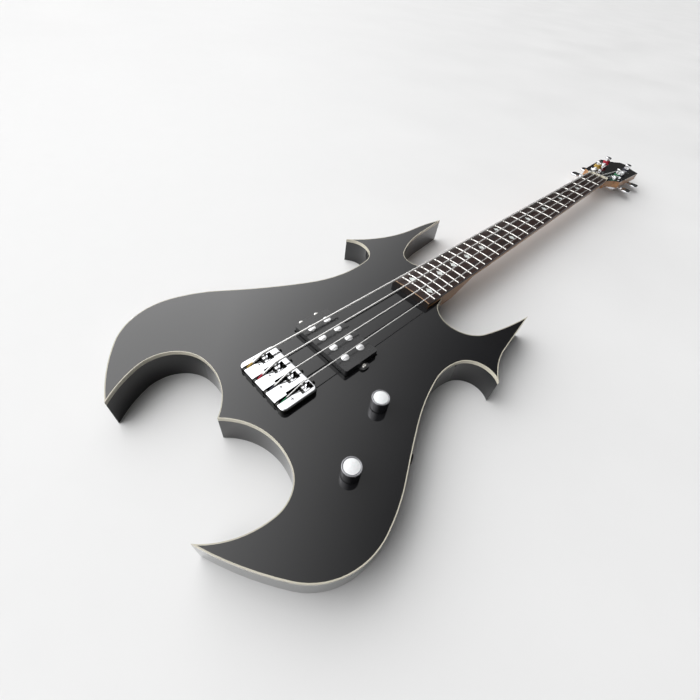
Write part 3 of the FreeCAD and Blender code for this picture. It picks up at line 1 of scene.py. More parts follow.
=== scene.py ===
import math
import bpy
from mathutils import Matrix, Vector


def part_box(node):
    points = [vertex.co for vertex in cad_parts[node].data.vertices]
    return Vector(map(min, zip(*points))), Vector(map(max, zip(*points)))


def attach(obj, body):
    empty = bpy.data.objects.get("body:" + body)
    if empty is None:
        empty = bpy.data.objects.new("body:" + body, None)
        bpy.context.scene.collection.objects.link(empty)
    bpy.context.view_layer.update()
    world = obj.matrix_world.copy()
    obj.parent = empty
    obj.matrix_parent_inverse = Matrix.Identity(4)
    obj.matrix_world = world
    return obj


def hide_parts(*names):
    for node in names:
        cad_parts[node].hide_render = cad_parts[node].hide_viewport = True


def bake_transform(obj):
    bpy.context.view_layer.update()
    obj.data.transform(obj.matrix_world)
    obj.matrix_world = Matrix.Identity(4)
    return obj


bl_info = {
    "name": "Electric bass guitar",
    "version": (1, 0, 0),
    "blender": (4, 5, 0),
    "location": "3D View > Sidebar > Bass",
    "description": "Dresses the packed bass guitar: strings, turned hardware, finishes and a stage",
    "category": "Object",
}

import bpy
import numpy as np
from bpy.props import FloatProperty, FloatVectorProperty, IntProperty, PointerProperty
from mathutils import Euler, Vector

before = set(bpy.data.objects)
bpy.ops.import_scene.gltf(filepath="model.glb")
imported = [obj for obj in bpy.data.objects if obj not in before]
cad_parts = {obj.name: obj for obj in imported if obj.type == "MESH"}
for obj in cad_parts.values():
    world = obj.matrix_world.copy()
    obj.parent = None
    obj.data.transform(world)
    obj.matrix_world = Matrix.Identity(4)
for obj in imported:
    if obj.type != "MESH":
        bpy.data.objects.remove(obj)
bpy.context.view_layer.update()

MM = 0.001
UP = np.array((0.0, 0.0, 1.0))
# Level of the body's top face and of the fretboard's highest line, above the flat back.
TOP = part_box("body_binding")[1].z
BOARD_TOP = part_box("fretboard")[1].z
# A level above the whole part, for a zone that no height bounds.
ABOVE_ALL = 1.0

# From the bass side: each string's diameter, its place across the neck in string spacings, and the
# crest of its saddle along the neck.
STRINGS = ("e", "a", "d", "g")
GAUGES = dict(zip(STRINGS, (2.67 * MM, 2.16 * MM, 1.65 * MM, 1.14 * MM)))
STEPS = dict(zip(STRINGS, (1.5, 0.5, -0.5, -1.5)))
CRESTS = dict(zip(STRINGS, (-7.5 * MM, -5.1 * MM, -2.4 * MM, 0.2 * MM)))
# The strings whose posts stand on the bass side, and those whose posts stand next to the nut.
BASS_SIDE = ("e", "a")
NEAR_NUT = ("e", "g")
# Start and tilt of the headstock's frame, and the places of the posts in it.
HEAD_X = 868.6 * MM
HEAD_Z = 40.5 * MM
HEAD_TILT = math.radians(3.0)
POST_NEAR = 62.0 * MM
POST_FAR = 125.0 * MM
POST_SIDE = 24.0 * MM


# Settings

def length(name, description, default):
    """A length in metres."""
    return FloatProperty(name=name, description=description, default=default, unit="LENGTH",
                         precision=5, min=0.0)


def share(name, description, default):
    """A part of one."""
    return FloatProperty(name=name, description=description, default=default, subtype="FACTOR",
                         min=0.0, max=1.0)


def colour(name, description, default):
    """A linear colour."""
    return FloatVectorProperty(name=name, description=description, default=default, subtype="COLOR",
                               size=3, min=0.0, max=1.0)


def spot(name, description, default):
    """A point in the part's frame."""
    return FloatVectorProperty(name=name, description=description, default=default,
                               subtype="TRANSLATION")


def side_count(name, description, default):
    """A number of sides."""
    return IntProperty(name=name, description=description, default=default, min=6)


class BassFinishSettings(bpy.types.PropertyGroup):
    """Colours and sheens of the finishes, and the zones of painted shade and painted highlight."""

    lacquer: colour("Lacquer", "Colour of the body and the headstock's face", (0.009, 0.009, 0.010))
    lacquer_roughness: share("Lacquer roughness", "How much the lacquer blurs what it mirrors", 0.06)
    binding: colour("Binding", "Colour of the strip round the top", (0.54, 0.51, 0.42))
    neck_light: colour("Neck light", "Lighter wood of the neck", (0.42, 0.22, 0.095))
    neck_dark: colour("Neck dark", "Darker grain of the neck", (0.25, 0.115, 0.045))
    board_light: colour("Board light", "Lighter wood of the fretboard", (0.040, 0.016, 0.011))
    board_dark: colour("Board dark", "Pores and dark grain of the fretboard", (0.010, 0.005, 0.004))
    # Painted highlight: a pale band across the fretboard at its end, along the end edge.
    end_edge_highlight: colour("End edge highlight", "Pale strip across the fretboard's end", (0.46, 0.30, 0.18))
    # Painted shade on the end faces of neck and fretboard, at the pickup.
    end_face_shade: colour("End face shade", "Dark ends of neck and fretboard, at the pickup", (0.008, 0.004, 0.003))
    chrome: colour("Chrome", "Tint of the plated hardware", (0.82, 0.83, 0.85))
    steel: colour("Steel", "Tint of frets and screws", (0.72, 0.71, 0.68))
    # Dark steel, also the colour of the painted shade on the bridge, saddles and screws.
    dark_steel_and_shade: colour("Dark steel and shade", "Tint of ball ends, sockets and shaded metal", (0.05, 0.05, 0.048))
    # The strings' tint is lightened past steel's own tone, so part of their sheen is painted into the
    # colour.
    wire: colour("String wire", "Tint of the strings", (0.96, 0.95, 0.93))
    pole: colour("Pole", "Tint of the pole pieces", (0.92, 0.92, 0.93))
    # A darkened chrome tint: painted dark reflection on the knobs' skirts.
    knob: colour("Knob chrome and dark reflection", "Tint of the knobs' skirts", (0.42, 0.42, 0.44))
    pot: colour("Pot plating", "Tint of the pots and their shafts", (0.55, 0.55, 0.53))
    brass: colour("Brass", "Tint of the rod nut", (0.70, 0.50, 0.20))
    cap: colour("Knob cap", "Colour of the shell on the knobs", (0.88, 0.88, 0.90))
    pearl: colour("Pearl", "Colour of the inlays", (0.84, 0.87, 0.85))
    pearl_green: colour("Pearl green", "Green clouds in shell", (0.55, 0.72, 0.66))
    pearl_rose: colour("Pearl rose", "Rose clouds in shell", (0.80, 0.66, 0.68))
    bone: colour("Bone", "Colour of the nut", (0.70, 0.66, 0.54))
    plastic: colour("Plastic", "Colour of the pickup and the covers", (0.018, 0.018, 0.019))
    rubber: colour("Rubber", "Colour of the tubes under the pickup", (0.04, 0.04, 0.04))
    tape: colour("Tape", "Colour of the tape round the coils", (0.05, 0.03, 0.02))
    jacket: colour("Wire jacket", "Colour of the leads", (0.08, 0.08, 0.08))
    capacitor: colour("Capacitor", "Colour of the dipped capacitor", (0.40, 0.16, 0.03))
    # Reach of the painted highlight at the fretboard's end, and the soft edge of that highlight and of the
    # painted end shade.
    highlight_reach: length("Highlight reach", "How far the pale strip reaches from the fretboard's end", 1.6 * MM)
    highlight_and_shade_fade: length("Highlight and shade fade", "Soft edge of the strip and of the end grain", 0.1 * MM)
    # Where painted shade lies on the bridge: below its bright top, on each saddle's front and past its
    # bright block, and on each screw below its top.
    unshaded_top: length("Unshaded top", "Depth of the bright metal at the top of the bridge", 0.6 * MM)
    front_shade_length: length("Front shade", "Dark front of a saddle, along the neck", 3.0 * MM)
    block: length("Unshaded width", "Bright part of a saddle, across the neck", 6.6 * MM)
    socket: length("Socket", "Where a screw's dark socket starts, below its top", 0.1 * MM)


class BassStringSettings(bpy.types.PropertyGroup):
    """Sizes of the strings, from ball end to post."""

    scale: length("Scale", "Length from nut to saddles", 863.6 * MM)
    saddle_spacing: length("Spacing at the saddles", "Between string centres", 18.6 * MM)
    nut_spacing: length("Spacing at the nut", "Between string centres", 11.1 * MM)
    saddle_rise: length("Rise at the saddles", "String centre above the board's curve", 5.2 * MM)
    nut_rise: length("Rise at the nut", "String centre above the board's curve", 2.64 * MM)
    board_radius: length("Board radius", "Curve of the fretboard", 400.0 * MM)
    ball_back: length("Ball end", "Ball ends behind the end of the scale", 35.3 * MM)
    ball_rise: length("Ball rise", "Ball ends above the body's top", 3.6 * MM)
    ball_radius: length("Ball radius", "Radius and half width of a ball end", 2.7 * MM)
    dimple_rim: length("Dimple rim", "Radius of the hollow in a ball end, at its side", 1.1 * MM)
    dimple_floor: length("Dimple floor", "Radius of that hollow at its floor", 1.0 * MM)
    dimple_depth: length("Dimple depth", "Depth of that hollow", 0.6 * MM)
    ball_edge: length("Ball edge", "Rounding of a ball end", 0.4 * MM)
    bend_back: length("Bend", "Bend of a string behind its saddle's crest", 5.7 * MM)
    bend_radius: length("Bend radius", "Radius of that bend", 6.0 * MM)
    nut_middle: length("Nut middle", "Middle of the nut past the end of the scale", 2.5 * MM)
    nut_bend: length("Bend at the nut", "Radius of a string's bend over the nut", 25.0 * MM)
    waist: length("Waist", "Radius of a post under its turns", 5.3 * MM)
    first_turn: length("First turn", "Lowest turn above the headstock's face", 3.8 * MM)
    turn_gap: length("Turn gap", "Gap between two turns on a post", 0.5 * MM)
    turns: FloatProperty(name="Turns", description="Turns on each post", default=2.25, min=0.5)
    wrap: length("Wrap wire", "Pitch of the winding on the thickest string", 0.5 * MM)
    silk_tail: length("Silk at the tail", "Length of the thread on the ball end", 10.0 * MM)
    silk_head: length("Silk at the head", "Length of the thread at the post", 118.0 * MM)
    silk_e: colour("Silk of the E string", "Colour of the thread", (0.42, 0.27, 0.05))
    silk_a: colour("Silk of the A string", "Colour of the thread", (0.40, 0.012, 0.035))
    silk_d: colour("Silk of the D string", "Colour of the thread", (0.03, 0.03, 0.05))
    silk_g: colour("Silk of the G string", "Colour of the thread", (0.01, 0.19, 0.075))
    sides: side_count("Sides", "Corners of a string's section", 14)
    ball_sides: side_count("Ball sides", "Sides of a turned ball end", 32)


class BassHardwareSettings(bpy.types.PropertyGroup):
    """Sizes of the turned pieces."""

    knob_radius: length("Knob radius", "Outside of the skirt", 9.4 * MM)
    knob_bore: length("Knob bore", "Radius of the hollow under a knob", 8.0 * MM)
    knob_ceiling: length("Knob ceiling", "Height of that hollow", 5.2 * MM)
    shaft_bore: length("Shaft bore", "Radius of a knob's hole for its shaft", 3.02 * MM)
    knob_lip: length("Knob lip", "Top of the rim below the top of the cap", 1.0 * MM)
    knob_seat: length("Knob seat", "Seat of the cap below its top", 1.8 * MM)
    knob_dome: length("Dome radius", "Radius of the domed cap inside the rim", 7.6 * MM)
    knob_rise: length("Dome rise", "Height of the cap's crown", 0.8 * MM)
    knob_gap: length("Cap gap", "Groove between cap and rim", 0.5 * MM)
    cap_sink: length("Cap sink", "How far the cap is let into its seat", 0.4 * MM)
    knob_sides: side_count("Knob sides", "Sides of a turned knob", 96)
    pole_radius: length("Pole radius", "Radius of a pole piece", 4.75 * MM)
    pole_dome: length("Pole dome", "How far a pole's top is domed", 0.35 * MM)
    pole_shoulder: length("Pole shoulder", "Edge of a pole below the top of its solid", 0.3 * MM)
    pole_sides: side_count("Pole sides", "Sides of a turned pole piece", 48)
    tube_radius: length("Tube radius", "Outside of the rubber tubes under the pickup", 3.0 * MM)
    tube_bore: length("Tube bore", "Inside of the rubber tubes", 1.75 * MM)
    tube_sides: side_count("Tube sides", "Sides of a rubber tube", 32)
    edge: length("Edge radius", "Rounding of the turned edges", 0.35 * MM)


class BassStageSettings(bpy.types.PropertyGroup):
    """Floor, light and camera."""

    floor: colour("Floor", "Colour of the floor", (0.8, 0.8, 0.8))
    floor_reach: length("Floor reach", "Half the width of the floor", 40.0)
    floor_gap: length("Floor gap", "Floor below the part's flat back", 0.2 * MM)
    lamp: FloatProperty(name="Lamp", description="Power of the lamp", default=2.0, min=0.0)
    lamp_size: length("Lamp size", "Width of the lamp", 0.7)
    lamp_spot: spot("Lamp place", "Where the lamp hangs", (-0.45, 0.75, 1.5))
    lamp_aim: spot("Lamp aim", "Point that the lamp faces", (0.15, 0.0, 0.03))
    dim: FloatProperty(name="Dim side", description="Sky level on the dark side", default=0.05, min=0.0)
    bright: FloatProperty(name="Bright side", description="Sky level on the bright side", default=2.6,
                          min=0.0)
    sky_way: FloatVectorProperty(name="Sky way", description="Way in which the sky brightens",
                                 default=(-0.55, 1.0, 0.0), subtype="XYZ")
    sky_start: FloatProperty(name="Sky start", description="Where the sky starts to brighten", default=-0.3)
    sky_end: FloatProperty(name="Sky end", description="Where the sky is brightest", default=0.5)
    sky_curve: FloatProperty(name="Sky curve", description="How late the sky brightens", default=1.7)
    camera: spot("Camera", "Place of the lens", (-0.14577, -0.19837, 0.355))
    aim: FloatVectorProperty(name="Aim", description="Turn of the camera", subtype="EULER",
                             default=[math.radians(a) for a in (41.3227, -5.8256, -43.9014)])
    lens: FloatProperty(name="Lens", description="Focal length in millimetres", default=19.042, min=1.0)
    sensor: FloatProperty(name="Sensor", description="Width of the sensor in millimetres", default=36.0)


# Surfaces

def shell(rings, poles, along):
    """One closed shell from a grid of rings (count, sides, 3) and a pole at each end.

    Corner j of ring i joins corner j + 1 and the same two of ring i + 1, the last corner joins the
    first, and each end ring closes in a fan on its pole. u is the given distance along, v the share
    of the way round. Gives the points, faces of four, faces of three, and u, v for every corner.
    """
    count, sides = rings.shape[:2]
    points = np.vstack([rings.reshape(-1, 3), poles])
    row = np.arange(count - 1)[:, None] * sides
    here = np.arange(sides)
    after = (here + 1) % sides
    quads = np.stack([row + here, row + after, row + sides + after, row + sides + here], axis=-1)
    end = (count - 1) * sides
    low = np.stack([np.full(sides, count * sides), after, here], axis=-1)
    high = np.stack([np.full(sides, count * sides + 1), end + here, end + after], axis=-1)
    near = np.repeat(along[:-1, None], sides, axis=1)
    far = np.repeat(along[1:, None], sides, axis=1)
    left = np.repeat(here[None, :] / sides, count - 1, axis=0)
    right = left + 1 / sides
    quad_uv = np.stack([np.stack([near, left], -1), np.stack([near, right], -1),
                        np.stack([far, right], -1), np.stack([far, left], -1)], axis=2)
    fan = here / sides
    fan_v = np.stack([fan + 0.5 / sides, fan + 1 / sides, fan], axis=-1)
    low_uv = np.stack([np.full_like(fan_v, along[0]), fan_v], axis=-1)
    high_uv = np.stack([np.full_like(fan_v, along[-1]), fan_v[:, (0, 2, 1)]], axis=-1)
    threes = np.vstack([low, high])
    uv = np.vstack([quad_uv.reshape(-1, 2), low_uv.reshape(-1, 2), high_uv.reshape(-1, 2)])
    return points, quads.reshape(-1, 4), threes, uv


def add_object(name, data):
    """An object for a mesh, lamp or camera, in the scene."""
    item = bpy.data.objects.new(name, data)
    bpy.context.scene.collection.objects.link(item)
    return item


def add_piece(name, shells, material, body, nodes=()):
    """A smooth mesh object from shells, riding on a body if one is given, for the given nodes."""
    points = np.vstack([part[0] for part in shells])
    starts = np.cumsum([0] + [len(part[0]) for part in shells[:-1]])
    faces = []
    for start, part in zip(starts, shells):
        faces += (part[1] + start).tolist() + (part[2] + start).tolist()
    mesh = bpy.data.meshes.new(name)
    mesh.from_pydata(points, [], faces)
    mesh.polygons.foreach_set("use_smooth", np.ones(len(faces), bool))
    layer = mesh.uv_layers.new(name="UVMap")
    layer.data.foreach_set("uv", np.vstack([part[3] for part in shells]).ravel())
    mesh.materials.append(material)
    mesh.update()
    piece = add_object(name, mesh)
    if body:
        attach(piece, body)
    if nodes:
        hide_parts(*nodes)
    return piece


def eased(corners, radius):
    """A line of (radius, height) corners with each inner corner eased.

    Each corner c becomes the curve (1 - t)^2 a + 2 t (1 - t) c + t^2 b, where a and b lie the easing
    radius away on the two sides, or less than half a side where that is shorter.
    """
    most = 0.45
    steps = 6
    corners = np.asarray(corners, float)
    middle = corners[1:-1]
    back = corners[:-2] - middle
    ahead = corners[2:] - middle
    reach_back = np.minimum(radius / np.linalg.norm(back, axis=1), most)[:, None]
    reach_ahead = np.minimum(radius / np.linalg.norm(ahead, axis=1), most)[:, None]
    first = (middle + back * reach_back)[:, None]
    last = (middle + ahead * reach_ahead)[:, None]
    t = np.linspace(0.0, 1.0, steps)[None, :, None]
    curve = (1 - t) ** 2 * first + 2 * t * (1 - t) * middle[:, None] + t ** 2 * last
    return np.vstack([corners[:1], curve.reshape(-1, 2), corners[-1:]])


def dome_line(radius, rise, start, top, count):
    """Points (r, top - R + sqrt(R^2 - r^2)) of a dome, from the starting radius in to its axis.

    R is the radius of the ball from which a cap of the given radius and rise is cut.
    """
    ball = (radius ** 2 + rise ** 2) / (2 * rise)
    r = np.linspace(start, 0.0, count)
    return np.stack([r, top - ball + np.sqrt(ball ** 2 - r ** 2)], axis=-1)


def distances(path):
    """Distance along a line of points, from the first of them to each."""
    return np.concatenate([[0.0], np.cumsum(np.linalg.norm(np.diff(path, axis=0), axis=1))])


def corner_angles(sides):
    """Angles of the corners of an even ring."""
    return np.linspace(0.0, 2 * np.pi, sides, endpoint=False)


def turned_rings(profile, sides):
    """Rings (r cos a, r sin a, h) of a profile of radius r and height h."""
    angle = corner_angles(sides)
    r = profile[:, 0, None]
    h = np.repeat(profile[:, 1, None], sides, axis=1)
    return np.stack([r * np.cos(angle), r * np.sin(angle), h], axis=-1)


def turned(profile, sides, centre, axis=2):
    """A profile (radius r, height h) turned about an axis: r cos a, r sin a across it and h along it.

    The profile's two ends lie on the axis and become the poles.
    """
    inner = profile[1:-1]
    poles = np.zeros((2, 3))
    poles[:, 2] = profile[(0, -1), 1]
    turn = [(1, 2, 0), (2, 0, 1), (0, 1, 2)][axis]
    order = np.argsort(turn)
    grid = turned_rings(inner, sides)
    return shell(grid[..., order] + centre, poles[:, order] + centre, distances(inner))


def looped(profile, sides, centre):
    """A closed line (radius r, height h) turned about Z: r cos a, r sin a and h, joined both ways round."""
    count = len(profile)
    points = turned_rings(profile, sides).reshape(-1, 3) + centre
    row = np.arange(count)[:, None]
    here = np.arange(sides)
    after = (here + 1) % sides
    above = (row + 1) % count * sides
    quads = np.stack([row * sides + here, row * sides + after, above + after, above + here], axis=-1)
    corners = np.array([(0, 0), (0, 1), (1, 1), (1, 0)])
    place = np.stack(np.broadcast_arrays(row, here), axis=-1)[:, :, None] + corners
    uv = (place / (count, sides)).reshape(-1, 2)
    return points, quads.reshape(-1, 4), np.empty((0, 3), int), uv


def swept(path, radius, sides):
    """A round section carried along a path: p + r (cos a side + sin a over).

    side is level and square to the path, and over is square to both.
    """
    ahead = np.gradient(path, axis=0)
    ahead /= np.linalg.norm(ahead, axis=1)[:, None]
    side = np.cross(UP, ahead)
    side /= np.linalg.norm(side, axis=1)[:, None]
    over = np.cross(ahead, side)
    angle = corner_angles(sides)[:, None]
    ring = np.cos(angle) * side[:, None] + np.sin(angle) * over[:, None]
    grid = path[:, None] + radius[:, None, None] * ring
    return shell(grid, path[(0, -1), :], distances(path))


# Node trees

def add_node(tree, kind, values=None, **settings):
    """A node with its settings and sockets; a socket takes a constant or another node's output."""
    node = tree.nodes.new(kind)
    for name, setting in settings.items():
        setattr(node, name, setting)
    for socket, given in (values or {}).items():
        if isinstance(given, bpy.types.NodeSocket):
            tree.links.new(given, node.inputs[socket])
        else:
            node.inputs[socket].default_value = given
    return node


def add_group(tree, group, values):
    """The outputs of a node that places a group with its own values."""
    return add_node(tree, "ShaderNodeGroup", values, node_tree=group).outputs


def mixed(tree, factor, first, second, blend="MIX"):
    """The colour output of a Mix node."""
    sockets = {0: factor, 6: first, 7: second}
    return add_node(tree, "ShaderNodeMix", sockets, data_type="RGBA", blend_type=blend).outputs[2]


def ranged(tree, given, low_in, high_in, low_out, high_out):
    """A value carried from one range to another."""
    sockets = {0: given, 1: low_in, 2: high_in, 3: low_out, 4: high_out}
    return add_node(tree, "ShaderNodeMapRange", sockets).outputs[0]


def noise(tree, vector, scale, detail=4.0, distortion=0.0):
    """The value of a noise texture."""
    sockets = {"Vector": vector, "Scale": scale, "Detail": detail, "Distortion": distortion}
    return add_node(tree, "ShaderNodeTexNoise", sockets).outputs[0]


def arithmetic(tree, operation, first, second=0.0):
    """The result of a Math node."""
    return add_node(tree, "ShaderNodeMath", {0: first, 1: second}, operation=operation).outputs[0]


def object_place(tree):
    """Object coordinates, which are the part's own frame on every piece."""
    return add_node(tree, "ShaderNodeTexCoord").outputs["Object"]


def rgba(values):
    """A colour with full cover."""
    return (*values, 1.0)


def new_group(name, inputs, outputs):
    """An empty node group with its sockets, and its own input and output sockets."""
    group = bpy.data.node_groups.new(name, "ShaderNodeTree")
    kinds = {"value": "NodeSocketFloat", "colour": "NodeSocketColor"}
    for label, kind, default in inputs:
        socket = group.interface.new_socket(label, in_out="INPUT", socket_type=kinds[kind])
        socket.default_value = default
    for label, kind in outputs:
        group.interface.new_socket(label, in_out="OUTPUT", socket_type=kinds[kind])
    return group, group.nodes.new("NodeGroupInput").outputs, group.nodes.new("NodeGroupOutput").inputs


def worn_surface():
    """Uneven tone and sheen: broad noise shades the colour, fine noise sets roughness and height."""
    name = "Worn surface"
    if name in bpy.data.node_groups:
        return bpy.data.node_groups[name]
    fine_scale = 14.0
    broad_share = 0.6
    group, given, result = new_group(
        name,
        [("Color", "colour", (0.5, 0.5, 0.5, 1.0)), ("Variation", "value", 0.1),
         ("Scale", "value", 20.0), ("Smooth", "value", 0.1), ("Rough", "value", 0.2)],
        [("Color", "colour"), ("Roughness", "value"), ("Height", "value")])
    place = object_place(group)
    broad = noise(group, place, given["Scale"])
    fine = noise(group, place, arithmetic(group, "MULTIPLY", given["Scale"], fine_scale), detail=3.0)
    darker = arithmetic(group, "SUBTRACT", 1.0, given["Variation"])
    lighter = arithmetic(group, "ADD", 1.0, given["Variation"])
    shade = ranged(group, broad, 0.3, 0.7, darker, lighter)
    group.links.new(mixed(group, 1.0, given["Color"], shade, "MULTIPLY"), result["Color"])
    mottle = arithmetic(group, "ADD", arithmetic(group, "MULTIPLY", broad, broad_share),
                        arithmetic(group, "MULTIPLY", fine, 1.0 - broad_share))
    group.links.new(ranged(group, mottle, 0.35, 0.65, given["Smooth"], given["Rough"]),
                    result["Roughness"])
    group.links.new(fine, result["Height"])
    return group


def zone():
    """Mask of what lies below a level and inside a box: the least depth past any of the sides."""
    name = "Zone"
    if name in bpy.data.node_groups:
        return bpy.data.node_groups[name]
    inputs = [("Level", "value", 0.0), ("Fade", "value", 0.0005), ("Low X", "value", -1.0),
              ("High X", "value", 1.0), ("Low Y", "value", -1.0), ("High Y", "value", 1.0)]
    group, given, result = new_group(name, inputs, [("Mask", "value")])
    parts = add_node(group, "ShaderNodeSeparateXYZ", {0: object_place(group)}).outputs
    least = arithmetic(group, "SUBTRACT", given["Level"], parts["Z"])
    for axis in "XY":
        past_low = arithmetic(group, "SUBTRACT", parts[axis], given["Low " + axis])
        past_high = arithmetic(group, "SUBTRACT", given["High " + axis], parts[axis])
        least = arithmetic(group, "MINIMUM", least, past_low)
        least = arithmetic(group, "MINIMUM", least, past_high)
    group.links.new(ranged(group, least, 0.0, given["Fade"], 0.0, 1.0), result["Mask"])
    return group


def timber():
    """Wood along X: long bands of light and dark, with fine dark pores that also sink the surface."""
    name = "Timber"
    if name in bpy.data.node_groups:
        return bpy.data.node_groups[name]
    group, given, result = new_group(
        name,
        [("Light", "colour", (0.4, 0.2, 0.1, 1.0)), ("Dark", "colour", (0.2, 0.1, 0.05, 1.0)),
         ("Band", "value", 200.0), ("Pore", "value", 1500.0), ("Pore depth", "value", 0.5)],
        [("Color", "colour"), ("Height", "value")])
    stretch = (0.035, 1.0, 1.0)
    mapping = {"Vector": object_place(group), "Scale": stretch}
    along = add_node(group, "ShaderNodeMapping", mapping).outputs[0]
    bands = noise(group, along, given["Band"], detail=6.0, distortion=0.8)
    streaks = noise(group, along, given["Pore"], detail=2.0)
    base = mixed(group, ranged(group, bands, 0.32, 0.68, 0.0, 1.0), given["Dark"], given["Light"])
    pores = arithmetic(group, "MULTIPLY", ranged(group, streaks, 0.56, 0.70, 0.0, 1.0),
                       given["Pore depth"])
    group.links.new(mixed(group, pores, base, given["Dark"]), result["Color"])
    group.links.new(arithmetic(group, "SUBTRACT", 1.0, pores), result["Height"])
    return group


def winding():
    """Round wire wound on a core: |sin| of the distance along the piece, one hump for each wire. Groove
    shade masks the grooves for painted shade.
    """
    name = "Winding"
    if name in bpy.data.node_groups:
        return bpy.data.node_groups[name]
    group, given, result = new_group(
        name, [("Pitch", "value", 0.0005)], [("Height", "value"), ("Groove shade", "value")])
    groove_height = 0.45
    place = add_node(group, "ShaderNodeUVMap", uv_map="UVMap").outputs[0]
    parts = add_node(group, "ShaderNodeSeparateXYZ", {0: place}).outputs
    slant = arithmetic(group, "MULTIPLY", parts["Y"], given["Pitch"])
    distance = arithmetic(group, "ADD", parts["X"], slant)
    turns = arithmetic(group, "DIVIDE", distance, given["Pitch"])
    wave = arithmetic(group, "SINE", arithmetic(group, "MULTIPLY", turns, math.pi))
    hump = arithmetic(group, "ABSOLUTE", wave)
    group.links.new(hump, result["Height"])
    group.links.new(ranged(group, hump, 0.0, groove_height, 1.0, 0.0), result["Groove shade"])
    return group


# Materials

def new_material(name, **sockets):
    """A material with constants on its Principled shader; gives the material, tree and shader."""
    material = bpy.data.materials.new(name)
    material.use_nodes = True
    shader = material.node_tree.nodes["Principled BSDF"]
    for label, setting in sockets.items():
        shader.inputs[label.replace("_", " ")].default_value = setting
    return material, material.node_tree, shader


def bumped(tree, shader, height, distance):
    """Joins a height to the shader's normal."""
    bump = add_node(tree, "ShaderNodeBump", {"Height": height, "Distance": distance})
    tree.links.new(bump.outputs[0], shader.inputs["Normal"])


def worn_material(name, tint, smooth, rough, variation=0.1, scale=20.0, relief=0.0, **sockets):
    """A material whose tone and sheen come from the worn surface."""
    material, tree, shader = new_material(name, **sockets)
    worn = add_group(tree, worn_surface(), {"Color": rgba(tint), "Variation": variation, "Scale": scale,
                                            "Smooth": smooth, "Rough": rough})
    tree.links.new(worn["Color"], shader.inputs["Base Color"])
    tree.links.new(worn["Roughness"], shader.inputs["Roughness"])
    if relief:
        bumped(tree, shader, worn["Height"], relief)
    return material


def metal_material(name, tint, smooth, rough, variation=0.1, scale=20.0):
    """Bare or plated metal."""
    return worn_material(name, tint, smooth, rough, variation, scale, Metallic=1.0)


def timber_material(name, wood, light_and_shade_trims, smooth, rough, relief):
    """Wood: colour and relief from the timber group, sheen from the worn surface, painted shade and painted
    highlight in zones.

    wood holds the timber group's values, and light_and_shade_trims the pairs of a painted colour and its
    zone's values.
    """
    material, tree, shader = new_material(name)
    grown = add_group(tree, timber(), wood)
    worn = add_group(tree, worn_surface(), {"Color": grown["Color"], "Variation": 0.12, "Scale": 9.0,
                                            "Smooth": smooth, "Rough": rough})
    tone = worn["Color"]
    for painted_tone, sides in light_and_shade_trims:
        tone = mixed(tree, add_group(tree, zone(), sides)["Mask"], tone, rgba(painted_tone))
    tree.links.new(tone, shader.inputs["Base Color"])
    tree.links.new(worn["Roughness"], shader.inputs["Roughness"])
    bumped(tree, shader, grown["Height"], relief)
    return material


def shaded_chrome(name, finish, *zones):
    """Bright chrome, and painted shade in each zone, dark and rougher: a level and the sides of the box
    below it.
    """
    shaded_roughness = 0.3
    material, tree, shader = new_material(name, Metallic=1.0)
    worn = add_group(tree, worn_surface(), {"Color": rgba(finish.chrome), "Variation": 0.03,
                                            "Scale": 60.0, "Smooth": 0.05, "Rough": 0.12})
    shade_mask = 0.0
    for sides in zones:
        shade_mask = arithmetic(tree, "MAXIMUM", add_group(tree, zone(), sides)["Mask"], shade_mask)
    tone = mixed(tree, shade_mask, worn["Color"], rgba(finish.dark_steel_and_shade))
    tree.links.new(tone, shader.inputs["Base Color"])
    rough = ranged(tree, shade_mask, 0.0, 1.0, worn["Roughness"], shaded_roughness)
    tree.links.new(rough, shader.inputs["Roughness"])
    return material


def pearl_material(name, finish, tint, depth):
    """Shell: soft clouds of green and rose over the tint, under a clear polish."""
    material, tree, shader = new_material(name, Coat_Weight=0.6, Coat_Roughness=0.05)
    place = object_place(tree)
    small = noise(tree, place, 420.0, detail=3.0, distortion=1.5)
    large = noise(tree, place, 300.0, detail=3.0, distortion=2.0)
    green_share = ranged(tree, small, 0.35, 0.65, 0.0, depth)
    green = mixed(tree, green_share, rgba(tint), rgba(finish.pearl_green))
    rose_share = ranged(tree, large, 0.45, 0.7, 0.0, depth)
    rose = mixed(tree, rose_share, green, rgba(finish.pearl_rose))
    tree.links.new(rose, shader.inputs["Base Color"])
    tree.links.new(ranged(tree, small, 0.3, 0.7, 0.12, 0.28), shader.inputs["Roughness"])
    return material


def string_material(name, tint, silk, pitch):
    """Wound steel, with painted shade in the grooves and a lightened tint that paints part of its sheen,
    with coloured thread where the silk attribute is 1.
    """
    groove_shade = 0.6
    # Half metal with a lightened tint, so part of the strings' sheen is painted into the colour.
    wire_metal = 0.5
    wire_roughness = 0.2
    thread_roughness = 0.7
    relief = 0.12 * pitch
    material, tree, shader = new_material(name)
    wound = add_group(tree, winding(), {"Pitch": pitch})
    thread = add_node(tree, "ShaderNodeAttribute", attribute_name="silk").outputs["Fac"]
    # Painted shade: the wire's tint darkened in the grooves of the winding.
    shaded_groove_tint = tuple(groove_shade * channel for channel in tint)
    wire = mixed(tree, wound["Groove shade"], rgba(tint), rgba(shaded_groove_tint))
    tree.links.new(mixed(tree, thread, wire, rgba(silk)), shader.inputs["Base Color"])
    tree.links.new(ranged(tree, thread, 0.0, 1.0, wire_metal, 0.0), shader.inputs["Metallic"])
    rough = ranged(tree, thread, 0.0, 1.0, wire_roughness, thread_roughness)
    tree.links.new(rough, shader.inputs["Roughness"])
    bumped(tree, shader, wound["Height"], relief)
    return material


def dress(material, *nodes):
    """Puts a material on CAD nodes."""
    for name in nodes:
        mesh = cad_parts[name].data
        mesh.materials.clear()
        mesh.materials.append(material)


